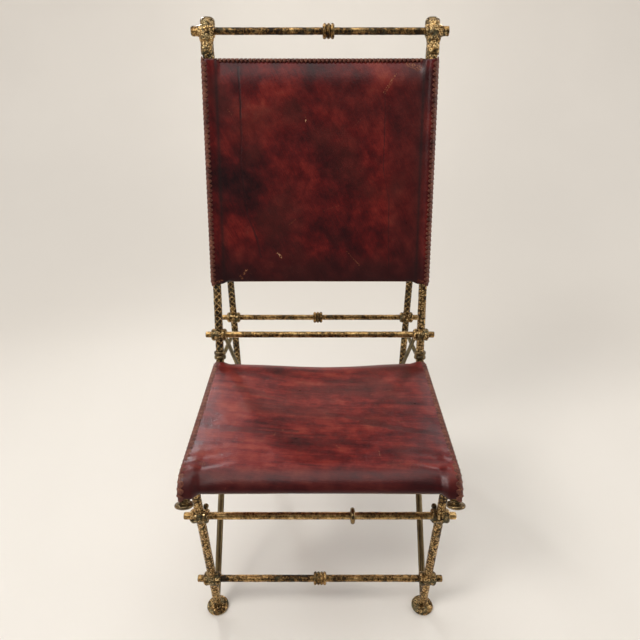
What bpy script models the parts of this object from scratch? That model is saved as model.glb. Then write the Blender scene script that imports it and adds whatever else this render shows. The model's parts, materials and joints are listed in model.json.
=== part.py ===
"""A high-backed side chair: hammered iron rods, cross bosses and two laced leather slings.

Metres, +Z up.  The sitter faces -Y.  The origin is on the floor under the middle of the chair.
"""
import math

import bmesh
import bpy
from mathutils import Vector

# Driving dimensions: stance
FRAME_HALF_WIDTH = 0.241
FRONT_FOOT_HALF_WIDTH = 0.2295
SEAT_FRONT_HALF_WIDTH = 0.245
SEAT_DEPTH = 0.404
FRONT_LEG_SETBACK = 0.060
REAR_FOOT_SETBACK = 0.640
SEAT_RAIL_HEIGHT = 0.432
BACK_LEAN = math.radians(16.1)

# Driving dimensions: the five cross bars, four of them placed from the seat rails
TOP_BAR_RISE = 0.702
LUMBAR_BAR_RISE = 0.0644
REAR_BAR_DROP = 0.0067
UPPER_FRONT_BAR_DROP = 0.141
LOWER_FRONT_BAR_HEIGHT = 0.0967

# Driving dimensions: rods
POST_RADIUS = 0.0095
LEG_RADIUS = 0.009
BAR_RADIUS = 0.007
FOOT_BRACE_RADIUS = 0.007
BRACE_RADIUS = 0.005
BAR_OVERHANG = 0.032
POST_TOP_RISE = 0.018

# Driving dimensions: the bent seat rails
KNOB_DROP = 0.029
KNOB_PITCH = math.radians(65.0)
FRONT_BEND_RADIUS = 0.032
REAR_BEND_RADIUS = 0.0125

# Driving dimensions: fittings
BOSS_LENGTH = 0.036
BOSS_RIM_WIDTH = 0.007
BOSS_RIM_CHAMFER = 0.00175
BOSS_RIM_HEIGHT = 0.0015
BOSS_WALL = 0.004
HEAD_RIM_HEIGHT = 0.0045
COLLAR_LENGTH = 0.017
COLLAR_WALL = 0.004
BEAD_WIRE_RADIUS = 0.0042
FINE_BEAD_WIRE_RADIUS = 0.0034
BEADS_PER_COLLAR = 3
FINE_BEADS_PER_COLLAR = 4
BEADS_PER_SEAT_COLLAR = 2
TOP_BEADS_X = 0.018
REAR_BEADS_X = -0.006
LOWER_BEADS_X = 0.0
LOOSE_RING_WIRE_RADIUS = 0.0045
LOOSE_RING_X = 0.065
FOOT_RADIUS = 0.0235
FOOT_THICKNESS = 0.009
KNOB_RADIUS = 0.017
KNOB_LENGTH = 0.0175
CAP_RADIUS = 0.016
CAP_HEIGHT = 0.010

# Driving dimensions: side braces, two of them placed on the rear leg from the seat rails
FOOT_BRACE_HEIGHT = 0.022
CORNER_BRACE_DROP = 0.047
BACK_BRACE_DROP = 0.217

# Driving dimensions: leather
LEATHER_THICKNESS = 0.002
LACE_RADIUS = 0.0014
SEAT_SAG = 0.018
SEAT_EDGE_SAG = 0.007
BACK_DISH = 0.010
BACK_EDGE_DISH = 0.005
BACK_PANEL_TOP_DROP = 0.056
BACK_PANEL_BOTTOM_RISE = 0.1156
SEAT_LEATHER_FRONT_MARGIN = 0.0105
SEAT_LEATHER_REAR_MARGIN = 0.017

# Clearance between pieces that touch
GAP = 0.0003

# Mesh fineness
ROD_SIDES = 16
BRACE_SIDES = 16
LACE_SIDES = 6
TURNED_SIDES = 16
BEND_STEPS = 6
SEAT_STEPS = 5
BACK_STEPS = 4
SHEET_STEPS = 8
POCKET_STEPS = 14
BEAD_STEPS = 4
WIRE_STEPS = 10
SMOOTH_ANGLE = math.radians(40.0)

# Worked out from the driving dimensions
SIDES = {"left": -1, "right": 1}
TOP_BAR_HEIGHT = SEAT_RAIL_HEIGHT + TOP_BAR_RISE
LUMBAR_BAR_HEIGHT = SEAT_RAIL_HEIGHT + LUMBAR_BAR_RISE
REAR_BAR_HEIGHT = SEAT_RAIL_HEIGHT - REAR_BAR_DROP
UPPER_FRONT_BAR_HEIGHT = SEAT_RAIL_HEIGHT - UPPER_FRONT_BAR_DROP
BACK_PANEL_TOP = TOP_BAR_HEIGHT - BACK_PANEL_TOP_DROP
BACK_PANEL_BOTTOM = LUMBAR_BAR_HEIGHT + BACK_PANEL_BOTTOM_RISE
LEAN_SLOPE = math.tan(BACK_LEAN)
POST_AXIS = Vector((0.0, math.sin(BACK_LEAN), math.cos(BACK_LEAN)))
KNOB_AXIS = Vector((0.0, -math.cos(KNOB_PITCH), -math.sin(KNOB_PITCH)))
POCKET_RADIUS = POST_RADIUS + GAP + LEATHER_THICKNESS
SHEET_THICKNESS = 2.0 * LEATHER_THICKNESS
BARREL_RADIUS = POST_RADIUS + BOSS_WALL

# Turned profiles, each a list of (distance along the axis, radius)
KNOB_PROFILE = [
    (GAP, POCKET_RADIUS),
    (0.18 * KNOB_LENGTH, 0.90 * POCKET_RADIUS),
    (0.34 * KNOB_LENGTH, 0.72 * POCKET_RADIUS),
    (0.46 * KNOB_LENGTH, 0.70 * KNOB_RADIUS),
    (0.56 * KNOB_LENGTH, 0.92 * KNOB_RADIUS),
    (0.70 * KNOB_LENGTH, KNOB_RADIUS),
    (0.86 * KNOB_LENGTH, 0.91 * KNOB_RADIUS),
    (KNOB_LENGTH, 0.60 * KNOB_RADIUS),
]
CAP_PROFILE = [
    (GAP, 0.72 * CAP_RADIUS),
    (0.20 * CAP_HEIGHT, 0.94 * CAP_RADIUS),
    (0.50 * CAP_HEIGHT, CAP_RADIUS),
    (0.80 * CAP_HEIGHT, 0.84 * CAP_RADIUS),
    (CAP_HEIGHT, 0.47 * CAP_RADIUS),
]
FOOT_PROFILE = [
    (0.0, 0.92 * FOOT_RADIUS),
    (0.20 * FOOT_THICKNESS, FOOT_RADIUS),
    (0.55 * FOOT_THICKNESS, 0.96 * FOOT_RADIUS),
    (0.85 * FOOT_THICKNESS, 0.74 * FOOT_RADIUS),
    (FOOT_THICKNESS, 0.46 * FOOT_RADIUS),
]

# The part's middle in depth, so that the origin lies under the centre of its box
FRONT_REACH = max(along * math.cos(KNOB_PITCH) + radius * math.sin(KNOB_PITCH)
                  for along, radius in KNOB_PROFILE)
DEPTH_MIDDLE = (REAR_FOOT_SETBACK + FOOT_RADIUS - FRONT_REACH) / 2.0


def finish(name, colour, roughness, metallic):
    """A Principled material with a plain colour."""
    material = bpy.data.materials.new(name)
    material.use_nodes = True
    shader = material.node_tree.nodes["Principled BSDF"]
    shader.inputs["Base Color"].default_value = (*colour, 1.0)
    shader.inputs["Roughness"].default_value = roughness
    shader.inputs["Metallic"].default_value = metallic
    return material


def place(setback, height, x=0.0):
    """A point given by its distance behind the rails' front ends."""
    return Vector((x, setback - DEPTH_MIDDLE, height))


def add_object(name, mesh_maker, material, origin=Vector()):
    """A named object whose mesh is filled by mesh_maker in world space around origin."""
    mesh = bpy.data.meshes.new(name)
    bm = bmesh.new()
    mesh_maker(bm)
    bmesh.ops.recalc_face_normals(bm, faces=bm.faces)
    bmesh.ops.translate(bm, verts=bm.verts, vec=-origin)
    bm.to_mesh(mesh)
    bm.free()
    mesh.shade_smooth()
    mesh.set_sharp_from_angle(angle=SMOOTH_ANGLE)
    mesh.materials.append(material)
    part = bpy.data.objects.new(name, mesh)
    part.location = origin
    bpy.context.collection.objects.link(part)
    return part


def join_rings(bm, rings, close_loop=False):
    """Quads between rings of equal count, with the ends capped or the last ring joined to the first."""
    pairs = list(zip(rings, rings[1:]))
    if close_loop:
        pairs.append((rings[-1], rings[0]))
    else:
        bm.faces.new(rings[0])
        bm.faces.new(rings[-1])
    for low, high in pairs:
        count = len(low)
        for i in range(count):
            j = (i + 1) % count
            bm.faces.new((low[i], low[j], high[j], high[i]))


def ring(bm, centre, across, up, radius, sides):
    """A ring of vertices around centre in the plane of two unit vectors."""
    points = []
    for i in range(sides):
        turn = 2.0 * math.pi * (i + 0.5) / sides
        points.append(bm.verts.new(centre + radius * (math.cos(turn) * across + math.sin(turn) * up)))
    return points


def square_to(axis):
    """Two unit vectors square to an axis."""
    helper = Vector((1.0, 0.0, 0.0)) if abs(axis.x) < abs(axis.z) else Vector((0.0, 0.0, 1.0))
    up = axis.cross(helper).normalized()
    return up.cross(axis).normalized(), up


def rod(name, start, end, radius, material, level_start=False, sides=ROD_SIDES):
    """A straight round rod; level_start cuts its first end horizontally."""
    axis = (end - start).normalized()
    across, up = square_to(axis)

    def fill(bm):
        """Make the two end rings and the skin between them."""
        first = ring(bm, start, across, up, radius, sides)
        last = ring(bm, end, across, up, radius, sides)
        if level_start:
            for vertex in first:
                vertex.co += axis * ((start.z - vertex.co.z) / axis.z)
        join_rings(bm, [first, last])

    return add_object(name, fill, material, start)


def turned(name, profile, seat, axis, material, closed=False):
    """A solid of revolution from a profile of (distance along the axis, radius)."""
    across, up = square_to(axis)

    def fill(bm):
        """Make one ring for each point of the profile."""
        rings = []
        for along, radius in profile:
            rings.append(ring(bm, seat + axis * along, across, up, radius, TURNED_SIDES))
        join_rings(bm, rings, close_loop=closed)

    return add_object(name, fill, material, seat)


def swept(name, stations, radius, material, sides):
    """A round rod along stations of (centre, normal), bent in planes that hold the X axis."""
    across = Vector((1.0, 0.0, 0.0))

    def fill(bm):
        """Make one ring for each station."""
        join_rings(bm, [ring(bm, centre, across, normal, radius, sides) for centre, normal in stations])

    return add_object(name, fill, material)


def cutter(part):
    """Turn an object into a cutter that isn't part of the chair."""
    part.hide_render = True
    part.display_type = "WIRE"
    part.name = "cut_" + part.name
    return part


def cut(part, *tools):
    """Cut each tool out of a part."""
    for tool in tools:
        modifier = part.modifiers.new("cut " + tool.name, "BOOLEAN")
        modifier.operation = "DIFFERENCE"
        modifier.object = tool


def rail_x(setback):
    """Half the distance between the seat rails, which draw together towards the back."""
    share = setback / SEAT_DEPTH
    return SEAT_FRONT_HALF_WIDTH + (FRAME_HALF_WIDTH - SEAT_FRONT_HALF_WIDTH) * share


def post_point(side, height):
    """A point on a back post's axis."""
    setback = SEAT_DEPTH + LEAN_SLOPE * (height - SEAT_RAIL_HEIGHT)
    return place(setback, height, side * FRAME_HALF_WIDTH)


def front_leg_point(side, height):
    """A point on a front leg's axis, which draws in towards the foot."""
    top_x = rail_x(FRONT_LEG_SETBACK)
    share = height / SEAT_RAIL_HEIGHT
    x = FRONT_FOOT_HALF_WIDTH + (top_x - FRONT_FOOT_HALF_WIDTH) * share
    return place(FRONT_LEG_SETBACK, height, side * x)


def post_top(side):
    """The middle of a back post's top end."""
    return post_point(side, TOP_BAR_HEIGHT) + POST_AXIS * POST_TOP_RISE


def rear_leg_point(side, height):
    """A point on a rear leg's axis, which meets the back edge of its post's top end."""
    head = post_top(side)
    head.y += POST_RADIUS * math.cos(BACK_LEAN) + LEG_RADIUS + GAP
    foot = place(REAR_FOOT_SETBACK, 0.0, side * FRAME_HALF_WIDTH)
    return foot + (head - foot) * (height / head.z)


def rail_stations(side):
    """Stations along a seat rail, from the knob, over the front bend, back and up to the collar."""
    front_tangent = FRONT_BEND_RADIUS * math.tan(KNOB_PITCH / 2.0)
    rear_turn = math.pi / 2.0 - BACK_LEAN
    rear_tangent = REAR_BEND_RADIUS * math.tan(rear_turn / 2.0)
    front_corner = KNOB_DROP / math.tan(KNOB_PITCH)
    flat = []
    flat.append((0.0, SEAT_RAIL_HEIGHT - KNOB_DROP, KNOB_PITCH))
    bend_y = front_corner + front_tangent
    bend_z = SEAT_RAIL_HEIGHT - FRONT_BEND_RADIUS
    for i in range(BEND_STEPS + 1):
        pitch = KNOB_PITCH * (1.0 - i / BEND_STEPS)
        flat.append((bend_y - FRONT_BEND_RADIUS * math.sin(pitch),
                     bend_z + FRONT_BEND_RADIUS * math.cos(pitch), pitch))
    run_start = bend_y
    run_end = SEAT_DEPTH - SEAT_LEATHER_REAR_MARGIN
    for i in range(1, SEAT_STEPS + 1):
        flat.append((run_start + (run_end - run_start) * i / SEAT_STEPS, SEAT_RAIL_HEIGHT, 0.0))
    turn_y = SEAT_DEPTH - rear_tangent
    turn_z = SEAT_RAIL_HEIGHT + REAR_BEND_RADIUS
    for i in range(BEND_STEPS + 1):
        pitch = rear_turn * i / BEND_STEPS
        flat.append((turn_y + REAR_BEND_RADIUS * math.sin(pitch),
                     turn_z - REAR_BEND_RADIUS * math.cos(pitch), pitch))
    rise = rear_tangent + COLLAR_LENGTH / 2.0
    flat.append((SEAT_DEPTH + rise * math.sin(BACK_LEAN),
                 SEAT_RAIL_HEIGHT + rise * math.cos(BACK_LEAN), rear_turn))
    stations = []
    for setback, height, pitch in flat:
        normal = Vector((0.0, -math.sin(pitch), math.cos(pitch)))
        stations.append((place(setback, height, side * rail_x(min(setback, SEAT_DEPTH))), normal))
    return stations


def seat_stations():
    """The right rail's stations that the seat leather covers, and the sag at each."""
    covered = rail_stations(1)[:BEND_STEPS + 2 + SEAT_STEPS]
    first, first_normal = covered[0]
    covered[0] = (first - KNOB_AXIS * SEAT_LEATHER_FRONT_MARGIN, first_normal)
    rows = []
    for index, (centre, normal) in enumerate(covered):
        along = max(0.0, (index - BEND_STEPS) / (SEAT_STEPS + 1))
        sag = SEAT_EDGE_SAG + (SEAT_SAG - SEAT_EDGE_SAG) * math.sin(math.pi * min(1.0, along))
        rows.append((centre, normal, sag))
    return rows


def back_stations():
    """Stations of the back leather up the right post, and the dish at each."""
    normal = Vector((0.0, -math.cos(BACK_LEAN), math.sin(BACK_LEAN)))
    rows = []
    for i in range(BACK_STEPS + 1):
        share = i / BACK_STEPS
        height = BACK_PANEL_BOTTOM + (BACK_PANEL_TOP - BACK_PANEL_BOTTOM) * share
        dish = BACK_EDGE_DISH + (BACK_DISH - BACK_EDGE_DISH) * math.sin(math.pi * share)
        rows.append((post_point(1, height), normal, dish))
    return rows


def sling_loop(centre, normal, sag):
    """The outline of a sling across one station: a sheet with a pocket round the rod at each side."""
    across = Vector((1.0, 0.0, 0.0))
    middle = Vector((0.0, centre.y, centre.z))
    inner_turn = math.pi + math.asin((POCKET_RADIUS - SHEET_THICKNESS) / POCKET_RADIUS)
    pocket_reach = POCKET_RADIUS * math.cos(inner_turn)
    points = []

    def sheet_point(x, offset):
        """A point of the sheet, sagging in a parabola between the rods."""
        drop = sag * (1.0 - (x / centre.x) ** 2)
        return middle + across * x + normal * (POCKET_RADIUS - offset - drop)

    for i in range(SHEET_STEPS + 1):
        points.append(sheet_point(centre.x * (2.0 * i / SHEET_STEPS - 1.0), 0.0))
    arc = []
    for i in range(1, POCKET_STEPS):
        turn = math.pi / 2.0 - (math.pi / 2.0 + inner_turn) * i / POCKET_STEPS
        arc.append((POCKET_RADIUS * math.cos(turn), POCKET_RADIUS * math.sin(turn)))
    points += [middle + across * (centre.x + out) + normal * up for out, up in arc]
    edge = centre.x + pocket_reach
    for i in range(SHEET_STEPS + 1):
        points.append(sheet_point(edge * (1.0 - 2.0 * i / SHEET_STEPS), SHEET_THICKNESS))
    points += [middle - across * (centre.x + out) + normal * up for out, up in reversed(arc)]
    return points


def sling(name, rows, material):
    """A leather sling lofted through its stations."""
    def fill(bm):
        """Make one outline for each station."""
        loops = [[bm.verts.new(point) for point in sling_loop(*row)] for row in rows]
        join_rings(bm, loops)

    return add_object(name, fill, material)


def boss_profile(rim_height):
    """A spool: a barrel with a rounded rim at each end."""
    half = BOSS_LENGTH / 2.0
    rim = BARREL_RADIUS + rim_height
    inner = half - BOSS_RIM_WIDTH
    side = [(inner, BARREL_RADIUS), (inner + BOSS_RIM_CHAMFER, rim),
            (half - BOSS_RIM_CHAMFER, rim), (half, BARREL_RADIUS)]
    return [(-along, radius) for along, radius in reversed(side)] + side


def bead_profile(count, wire_radius, bore):
    """A collar of round beads in a row, with a plain bore."""
    points = []
    for bead in range(count):
        centre = (bead - (count - 1) / 2.0) * 2.0 * wire_radius
        for i in range(BEAD_STEPS + 1):
            if i == BEAD_STEPS and bead < count - 1:
                continue
            turn = math.pi * (1.0 - i / BEAD_STEPS)
            points.append((centre + wire_radius * math.cos(turn),
                           bore + wire_radius + wire_radius * math.sin(turn)))
    half = count * wire_radius
    return points + [(half, bore), (-half, bore)]


def ring_profile(wire_radius, bore):
    """A ring of round wire."""
    turns = [2.0 * math.pi * i / WIRE_STEPS for i in range(WIRE_STEPS)]
    return [(wire_radius * math.cos(turn), bore + wire_radius * (1.0 + math.sin(turn))) for turn in turns]


def cross_bar(name, crossing, material):
    """Make a cross bar through a crossing's two points, and return the cutter for its bores."""
    reach = Vector((crossing.x + BAR_OVERHANG, 0.0, 0.0))
    middle = Vector((0.0, crossing.y, crossing.z))
    rod(name, middle - reach, middle + reach, BAR_RADIUS, material)
    longer = reach + Vector((BAR_OVERHANG, 0.0, 0.0))
    return cutter(rod(name + "_bore", middle - longer, middle + longer, BAR_RADIUS + GAP, material))


def build_posts(iron):
    """Back posts standing in collars on the seat rails, with a clearance cutter for each."""
    posts, cutters = {}, {}
    seat_height = rail_stations(1)[-1][0].z
    for word, side in SIDES.items():
        start = post_point(side, seat_height) + POST_AXIS * GAP
        top = post_top(side)
        posts[side] = rod(word + "_back_post", start, top, POST_RADIUS, iron)
        cutters[side] = cutter(rod(word + "_back_post_clearance", start, top + POST_AXIS * POST_RADIUS,
                                   POST_RADIUS + GAP, iron))
    return posts, cutters


def build_legs(name, leg_point, top_height, iron):
    """A pair of legs on level-cut ends above their feet, with a clearance cutter for each."""
    legs, cutters = {}, {}
    for word, side in SIDES.items():
        start = leg_point(side, FOOT_THICKNESS + GAP)
        end = leg_point(side, top_height)
        legs[side] = rod(f"{word}_{name}_leg", start, end, LEG_RADIUS, iron, level_start=True)
        cutters[side] = cutter(rod(f"{word}_{name}_leg_clearance", leg_point(side, 0.0), end,
                                   LEG_RADIUS + GAP, iron))
        foot = leg_point(side, FOOT_THICKNESS)
        foot.z = 0.0
        turned(f"{word}_{name}_foot", FOOT_PROFILE, foot, Vector((0.0, 0.0, 1.0)), iron)
    return legs, cutters


def build_rails(iron, dark_iron):
    """Bent seat rails with their knobs and collars, and a clearance cutter for each."""
    cutters = {}
    for word, side in SIDES.items():
        stations = rail_stations(side)
        swept(word + "_seat_rail", stations, POST_RADIUS, iron, ROD_SIDES)
        first, first_normal = stations[0]
        last, last_normal = stations[-1]
        longer = [(first + KNOB_AXIS * KNOB_LENGTH, first_normal)] + stations
        longer.append((last + POST_AXIS * COLLAR_LENGTH, last_normal))
        clearance = swept(word + "_seat_rail_clearance", longer, POST_RADIUS + GAP, iron, ROD_SIDES)
        cutters[side] = cutter(clearance)
        turned(word + "_rail_knob", KNOB_PROFILE, first, KNOB_AXIS, dark_iron)
        bead_radius = COLLAR_LENGTH / (2.0 * BEADS_PER_SEAT_COLLAR)
        collar = bead_profile(BEADS_PER_SEAT_COLLAR, bead_radius, POST_RADIUS + GAP)
        squat = [(along, min(radius, POST_RADIUS + GAP + COLLAR_WALL)) for along, radius in collar]
        turned(word + "_seat_collar", squat, last, POST_AXIS, dark_iron, closed=True)
    return cutters


def build_crossings(post_pair, front_pair, rear_pair, iron):
    """Five cross bars, each through a pair of uprights, with a spool boss at every crossing."""
    crossings = {
        "top": (post_point(1, TOP_BAR_HEIGHT), *post_pair),
        "lumbar": (post_point(1, LUMBAR_BAR_HEIGHT), *post_pair),
        "rear": (rear_leg_point(1, REAR_BAR_HEIGHT), *rear_pair),
        "upper_front": (front_leg_point(1, UPPER_FRONT_BAR_HEIGHT), *front_pair),
        "lower_front": (front_leg_point(1, LOWER_FRONT_BAR_HEIGHT), *front_pair),
    }
    across = Vector((1.0, 0.0, 0.0))
    for name, (crossing, uprights, clearances) in crossings.items():
        bore = cross_bar(name + "_bar", crossing, iron)
        rim_height = HEAD_RIM_HEIGHT if name == "top" else BOSS_RIM_HEIGHT
        for word, side in SIDES.items():
            cut(uprights[side], bore)
            centre = Vector((side * crossing.x, crossing.y, crossing.z))
            boss = turned(f"{word}_{name}_boss", boss_profile(rim_height), centre, across, iron)
            cut(boss, bore, clearances[side])
    return {name: row[0] for name, row in crossings.items()}


def build_rings(centres, iron, dark_iron):
    """Beaded collars fixed on three of the bars, and the ring that is loose on the upper front bar."""
    across = Vector((1.0, 0.0, 0.0))
    bore = BAR_RADIUS + GAP
    beads = {
        "top": (TOP_BEADS_X, BEADS_PER_COLLAR, BEAD_WIRE_RADIUS),
        "rear": (REAR_BEADS_X, BEADS_PER_COLLAR, BEAD_WIRE_RADIUS),
        "lower_front": (LOWER_BEADS_X, FINE_BEADS_PER_COLLAR, FINE_BEAD_WIRE_RADIUS),
    }
    for name, (x, count, wire_radius) in beads.items():
        seat = Vector((x, centres[name].y, centres[name].z))
        profile = bead_profile(count, wire_radius, bore)
        turned(name + "_bead_collar", profile, seat, across, iron, closed=True)
    bar = centres["upper_front"]
    seat = Vector((LOOSE_RING_X, bar.y, bar.z))
    profile = ring_profile(LOOSE_RING_WIRE_RADIUS, bore)
    turned("loose_ring", profile, seat, across, dark_iron, closed=True)


def brace(name, start, end, radius, material):
    """A straight brace."""
    return rod(name, start, end, radius, material, sides=BRACE_SIDES)


def build_braces(post_cutters, rail_cutters, front_cutters, rear_cutters, centres, iron):
    """Three braces on each side, in two layers so that they pass each other."""
    foot_layer = 2.0 * FOOT_BRACE_RADIUS + GAP
    back_layer = FOOT_BRACE_RADIUS + BRACE_RADIUS + GAP
    lumbar = centres["lumbar"]
    reach = Vector((BOSS_LENGTH, 0.0, 0.0))
    for word, side in SIDES.items():
        corner = place(SEAT_DEPTH, SEAT_RAIL_HEIGHT, side * FRAME_HALF_WIDTH)
        boss = Vector((side * lumbar.x, lumbar.y, lumbar.z))
        shift = Vector((side * back_layer, 0.0, 0.0))

        foot = front_leg_point(side, FOOT_BRACE_HEIGHT)
        under_rail = corner - Vector((side * foot_layer, 0.0, POST_RADIUS))
        foot_brace = brace(word + "_foot_brace", foot, under_rail, FOOT_BRACE_RADIUS, iron)
        cut(foot_brace, front_cutters[side], rail_cutters[side])

        start = rear_leg_point(side, SEAT_RAIL_HEIGHT - CORNER_BRACE_DROP)
        corner_brace = brace(word + "_corner_brace", start, corner, BRACE_RADIUS, iron)
        cut(corner_brace, rear_cutters[side], rail_cutters[side])

        start = rear_leg_point(side, SEAT_RAIL_HEIGHT - BACK_BRACE_DROP) - shift
        back_brace = brace(word + "_back_brace", start, boss - shift, BRACE_RADIUS, iron)
        boss_radius = BARREL_RADIUS + BOSS_RIM_HEIGHT
        barrel = rod(word + "_lumbar_barrel", boss - reach, boss + reach, boss_radius + GAP, iron)
        cut(back_brace, rear_cutters[side], cutter(barrel), post_cutters[side])


def build_leather(post_cutters, rail_cutters, front_cutters, leather, lace):
    """The seat and back slings with a pocket for each rod, and the lacing down their outer edges."""
    seat_rows = seat_stations()
    back_rows = back_stations()
    seat = sling("seat_leather", seat_rows, leather)
    cut(seat, *rail_cutters.values(), *front_cutters.values())
    back = sling("back_leather", back_rows, leather)
    cut(back, *post_cutters.values())
    offset = POCKET_RADIUS + GAP + LACE_RADIUS
    for panel, rows in (("seat", seat_rows), ("back", back_rows)):
        for word, side in SIDES.items():
            stations = []
            for centre, normal, _ in rows:
                stations.append((Vector((side * (centre.x + offset), centre.y, centre.z)), normal))
            swept(f"{word}_{panel}_lace", stations, LACE_RADIUS, lace, LACE_SIDES)


def build_chair():
    """Make every piece of the chair."""
    iron = finish("gilt_hammered_iron", (0.30, 0.21, 0.09), 0.42, 0.85)
    dark_iron = finish("dark_patinated_iron", (0.07, 0.06, 0.05), 0.32, 0.85)
    leather = finish("oxblood_leather", (0.16, 0.022, 0.02), 0.38, 0.0)
    lace = finish("dark_lace", (0.09, 0.018, 0.016), 0.55, 0.0)

    posts, post_cutters = build_posts(iron)
    rail_cutters = build_rails(iron, dark_iron)
    front_top = SEAT_RAIL_HEIGHT - POST_RADIUS / 2.0
    front_legs, front_cutters = build_legs("front", front_leg_point, front_top, iron)
    for side in SIDES.values():
        cut(front_legs[side], rail_cutters[side])
    rear_top = post_top(1).z + GAP
    rear_legs, rear_cutters = build_legs("rear", rear_leg_point, rear_top, iron)
    for word, side in SIDES.items():
        seat = rear_leg_point(side, rear_top)
        axis = (seat - rear_leg_point(side, 0.0)).normalized()
        turned(word + "_rear_cap", CAP_PROFILE, seat, axis, dark_iron)
    centres = build_crossings((posts, post_cutters), (front_legs, front_cutters),
                              (rear_legs, rear_cutters), iron)
    build_rings(centres, iron, dark_iron)
    build_braces(post_cutters, rail_cutters, front_cutters, rear_cutters, centres, iron)
    build_leather(post_cutters, rail_cutters, front_cutters, leather, lace)


for old in list(bpy.data.objects):
    bpy.data.objects.remove(old, do_unlink=True)
build_chair()
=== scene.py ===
"""Looks of a high-backed side chair: hammered gilt iron rods with laced leather slings.

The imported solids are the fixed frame. Rods, bosses and fittings are remade with hammered skins, each sling
becomes two leather sheets with whip lacing, and every surface gets a procedural finish.
"""

import json
import logging
import math
from dataclasses import dataclass, field
from enum import Enum
from typing import Iterable, Protocol, Union

import bmesh
import bpy
import numpy as np
from mathutils import Matrix, Vector, noise

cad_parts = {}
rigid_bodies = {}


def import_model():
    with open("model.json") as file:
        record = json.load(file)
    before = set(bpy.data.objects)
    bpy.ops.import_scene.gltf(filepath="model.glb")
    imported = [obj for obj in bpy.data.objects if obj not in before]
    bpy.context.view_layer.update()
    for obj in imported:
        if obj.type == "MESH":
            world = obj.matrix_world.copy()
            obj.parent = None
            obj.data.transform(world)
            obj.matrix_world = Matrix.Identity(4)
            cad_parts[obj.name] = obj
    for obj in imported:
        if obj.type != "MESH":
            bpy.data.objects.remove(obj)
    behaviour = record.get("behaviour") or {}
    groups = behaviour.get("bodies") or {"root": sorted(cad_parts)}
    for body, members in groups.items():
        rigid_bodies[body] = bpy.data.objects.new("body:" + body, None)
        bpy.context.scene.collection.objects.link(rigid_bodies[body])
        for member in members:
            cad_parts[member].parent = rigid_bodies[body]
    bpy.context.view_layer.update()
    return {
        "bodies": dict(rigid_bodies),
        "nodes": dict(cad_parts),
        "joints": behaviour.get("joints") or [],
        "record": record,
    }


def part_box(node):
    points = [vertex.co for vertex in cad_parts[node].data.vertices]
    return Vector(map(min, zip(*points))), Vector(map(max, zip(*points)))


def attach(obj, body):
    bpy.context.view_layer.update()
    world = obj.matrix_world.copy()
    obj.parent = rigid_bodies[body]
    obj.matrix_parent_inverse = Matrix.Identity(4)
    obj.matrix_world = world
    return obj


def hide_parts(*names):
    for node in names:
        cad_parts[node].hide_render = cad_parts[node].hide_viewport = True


LOG = logging.getLogger("side_chair")
ACROSS = Vector((1.0, 0.0, 0.0))
UPWARD = Vector((0.0, 0.0, 1.0))
PANEL_MAP = "panel"
# Point layer holding painted shade for the leather's seam valleys and curled hems.
SHADE_LAYER = "shade"
TURN_LAYER = "turn"
ALONG_LAYER = "along"


# Named choices


class Slot(Enum):
    """The record's material slots."""

    GILT = "gilt_hammered_iron"
    DARK = "dark_patinated_iron"
    LEATHER = "oxblood_leather"
    LACE = "dark_lace"


class Body(Enum):
    """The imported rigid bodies."""

    FRAME = "frame"
    RING = "ring"


class Side(Enum):
    """The chair's sides as seen from the front."""

    LEFT = -1
    RIGHT = 1

    def node(self, name: str) -> str:
        """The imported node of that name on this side."""
        return f"{self.name.lower()}_{name}"


class Chase(Enum):
    """How the iron was decorated before gilding."""

    PEENED = "peened"
    RINGS = "ring punches"
    LATTICE = "chased lattice"


class Layer(Enum):
    """The two sheets of a sling."""

    OUTER = 1
    INNER = -1


# Shader nodes as expressions


class Socket:
    """One output of a shader node, with the arithmetic that adds Math nodes."""

    def __init__(self, graph: "Graph", output: bpy.types.NodeSocket) -> None:
        """Keep the output and the graph it belongs to."""
        self.graph = graph
        self.output = output

    def math(self, operation: str, *operands: "Value") -> "Socket":
        """Add a Math node on these operands."""
        return self.graph.node("ShaderNodeMath", {"operation": operation}, dict(enumerate(operands)))

    def __add__(self, other: "Value") -> "Socket":
        """Sum."""
        return self.math("ADD", self, other)

    def __radd__(self, other: "Value") -> "Socket":
        """Sum with a number on the left."""
        return self.math("ADD", other, self)

    def __sub__(self, other: "Value") -> "Socket":
        """Difference."""
        return self.math("SUBTRACT", self, other)

    def __rsub__(self, other: "Value") -> "Socket":
        """Difference from a number on the left."""
        return self.math("SUBTRACT", other, self)

    def __mul__(self, other: "Value") -> "Socket":
        """Product."""
        return self.math("MULTIPLY", self, other)

    def __rmul__(self, other: "Value") -> "Socket":
        """Product with a number on the left."""
        return self.math("MULTIPLY", other, self)

    def __abs__(self) -> "Socket":
        """Absolute value."""
        return self.math("ABSOLUTE", self)

    def most(self, other: "Value") -> "Socket":
        """The larger of two values."""
        return self.math("MAXIMUM", self, other)

    def fraction(self) -> "Socket":
        """What is left after the whole number."""
        return self.math("FRACT", self)

    def clamped(self) -> "Socket":
        """The value kept from 0 to 1."""
        return self.graph.node("ShaderNodeClamp", None, {"Value": self})

    def smooth(self, low: float, high: float, start: float = 0.0, end: float = 1.0) -> "Socket":
        """Ease from start to end while the value goes from low to high."""
        limits = {"Value": self, "From Min": low, "From Max": high, "To Min": start, "To Max": end}
        return self.graph.node("ShaderNodeMapRange", {"interpolation_type": "SMOOTHSTEP"}, limits)

    def other(self, name: str) -> "Socket":
        """Another output of the same node."""
        return Socket(self.graph, self.output.node.outputs[name])


Value = Union[Socket, float]
Colour = tuple[float, float, float]


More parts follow.
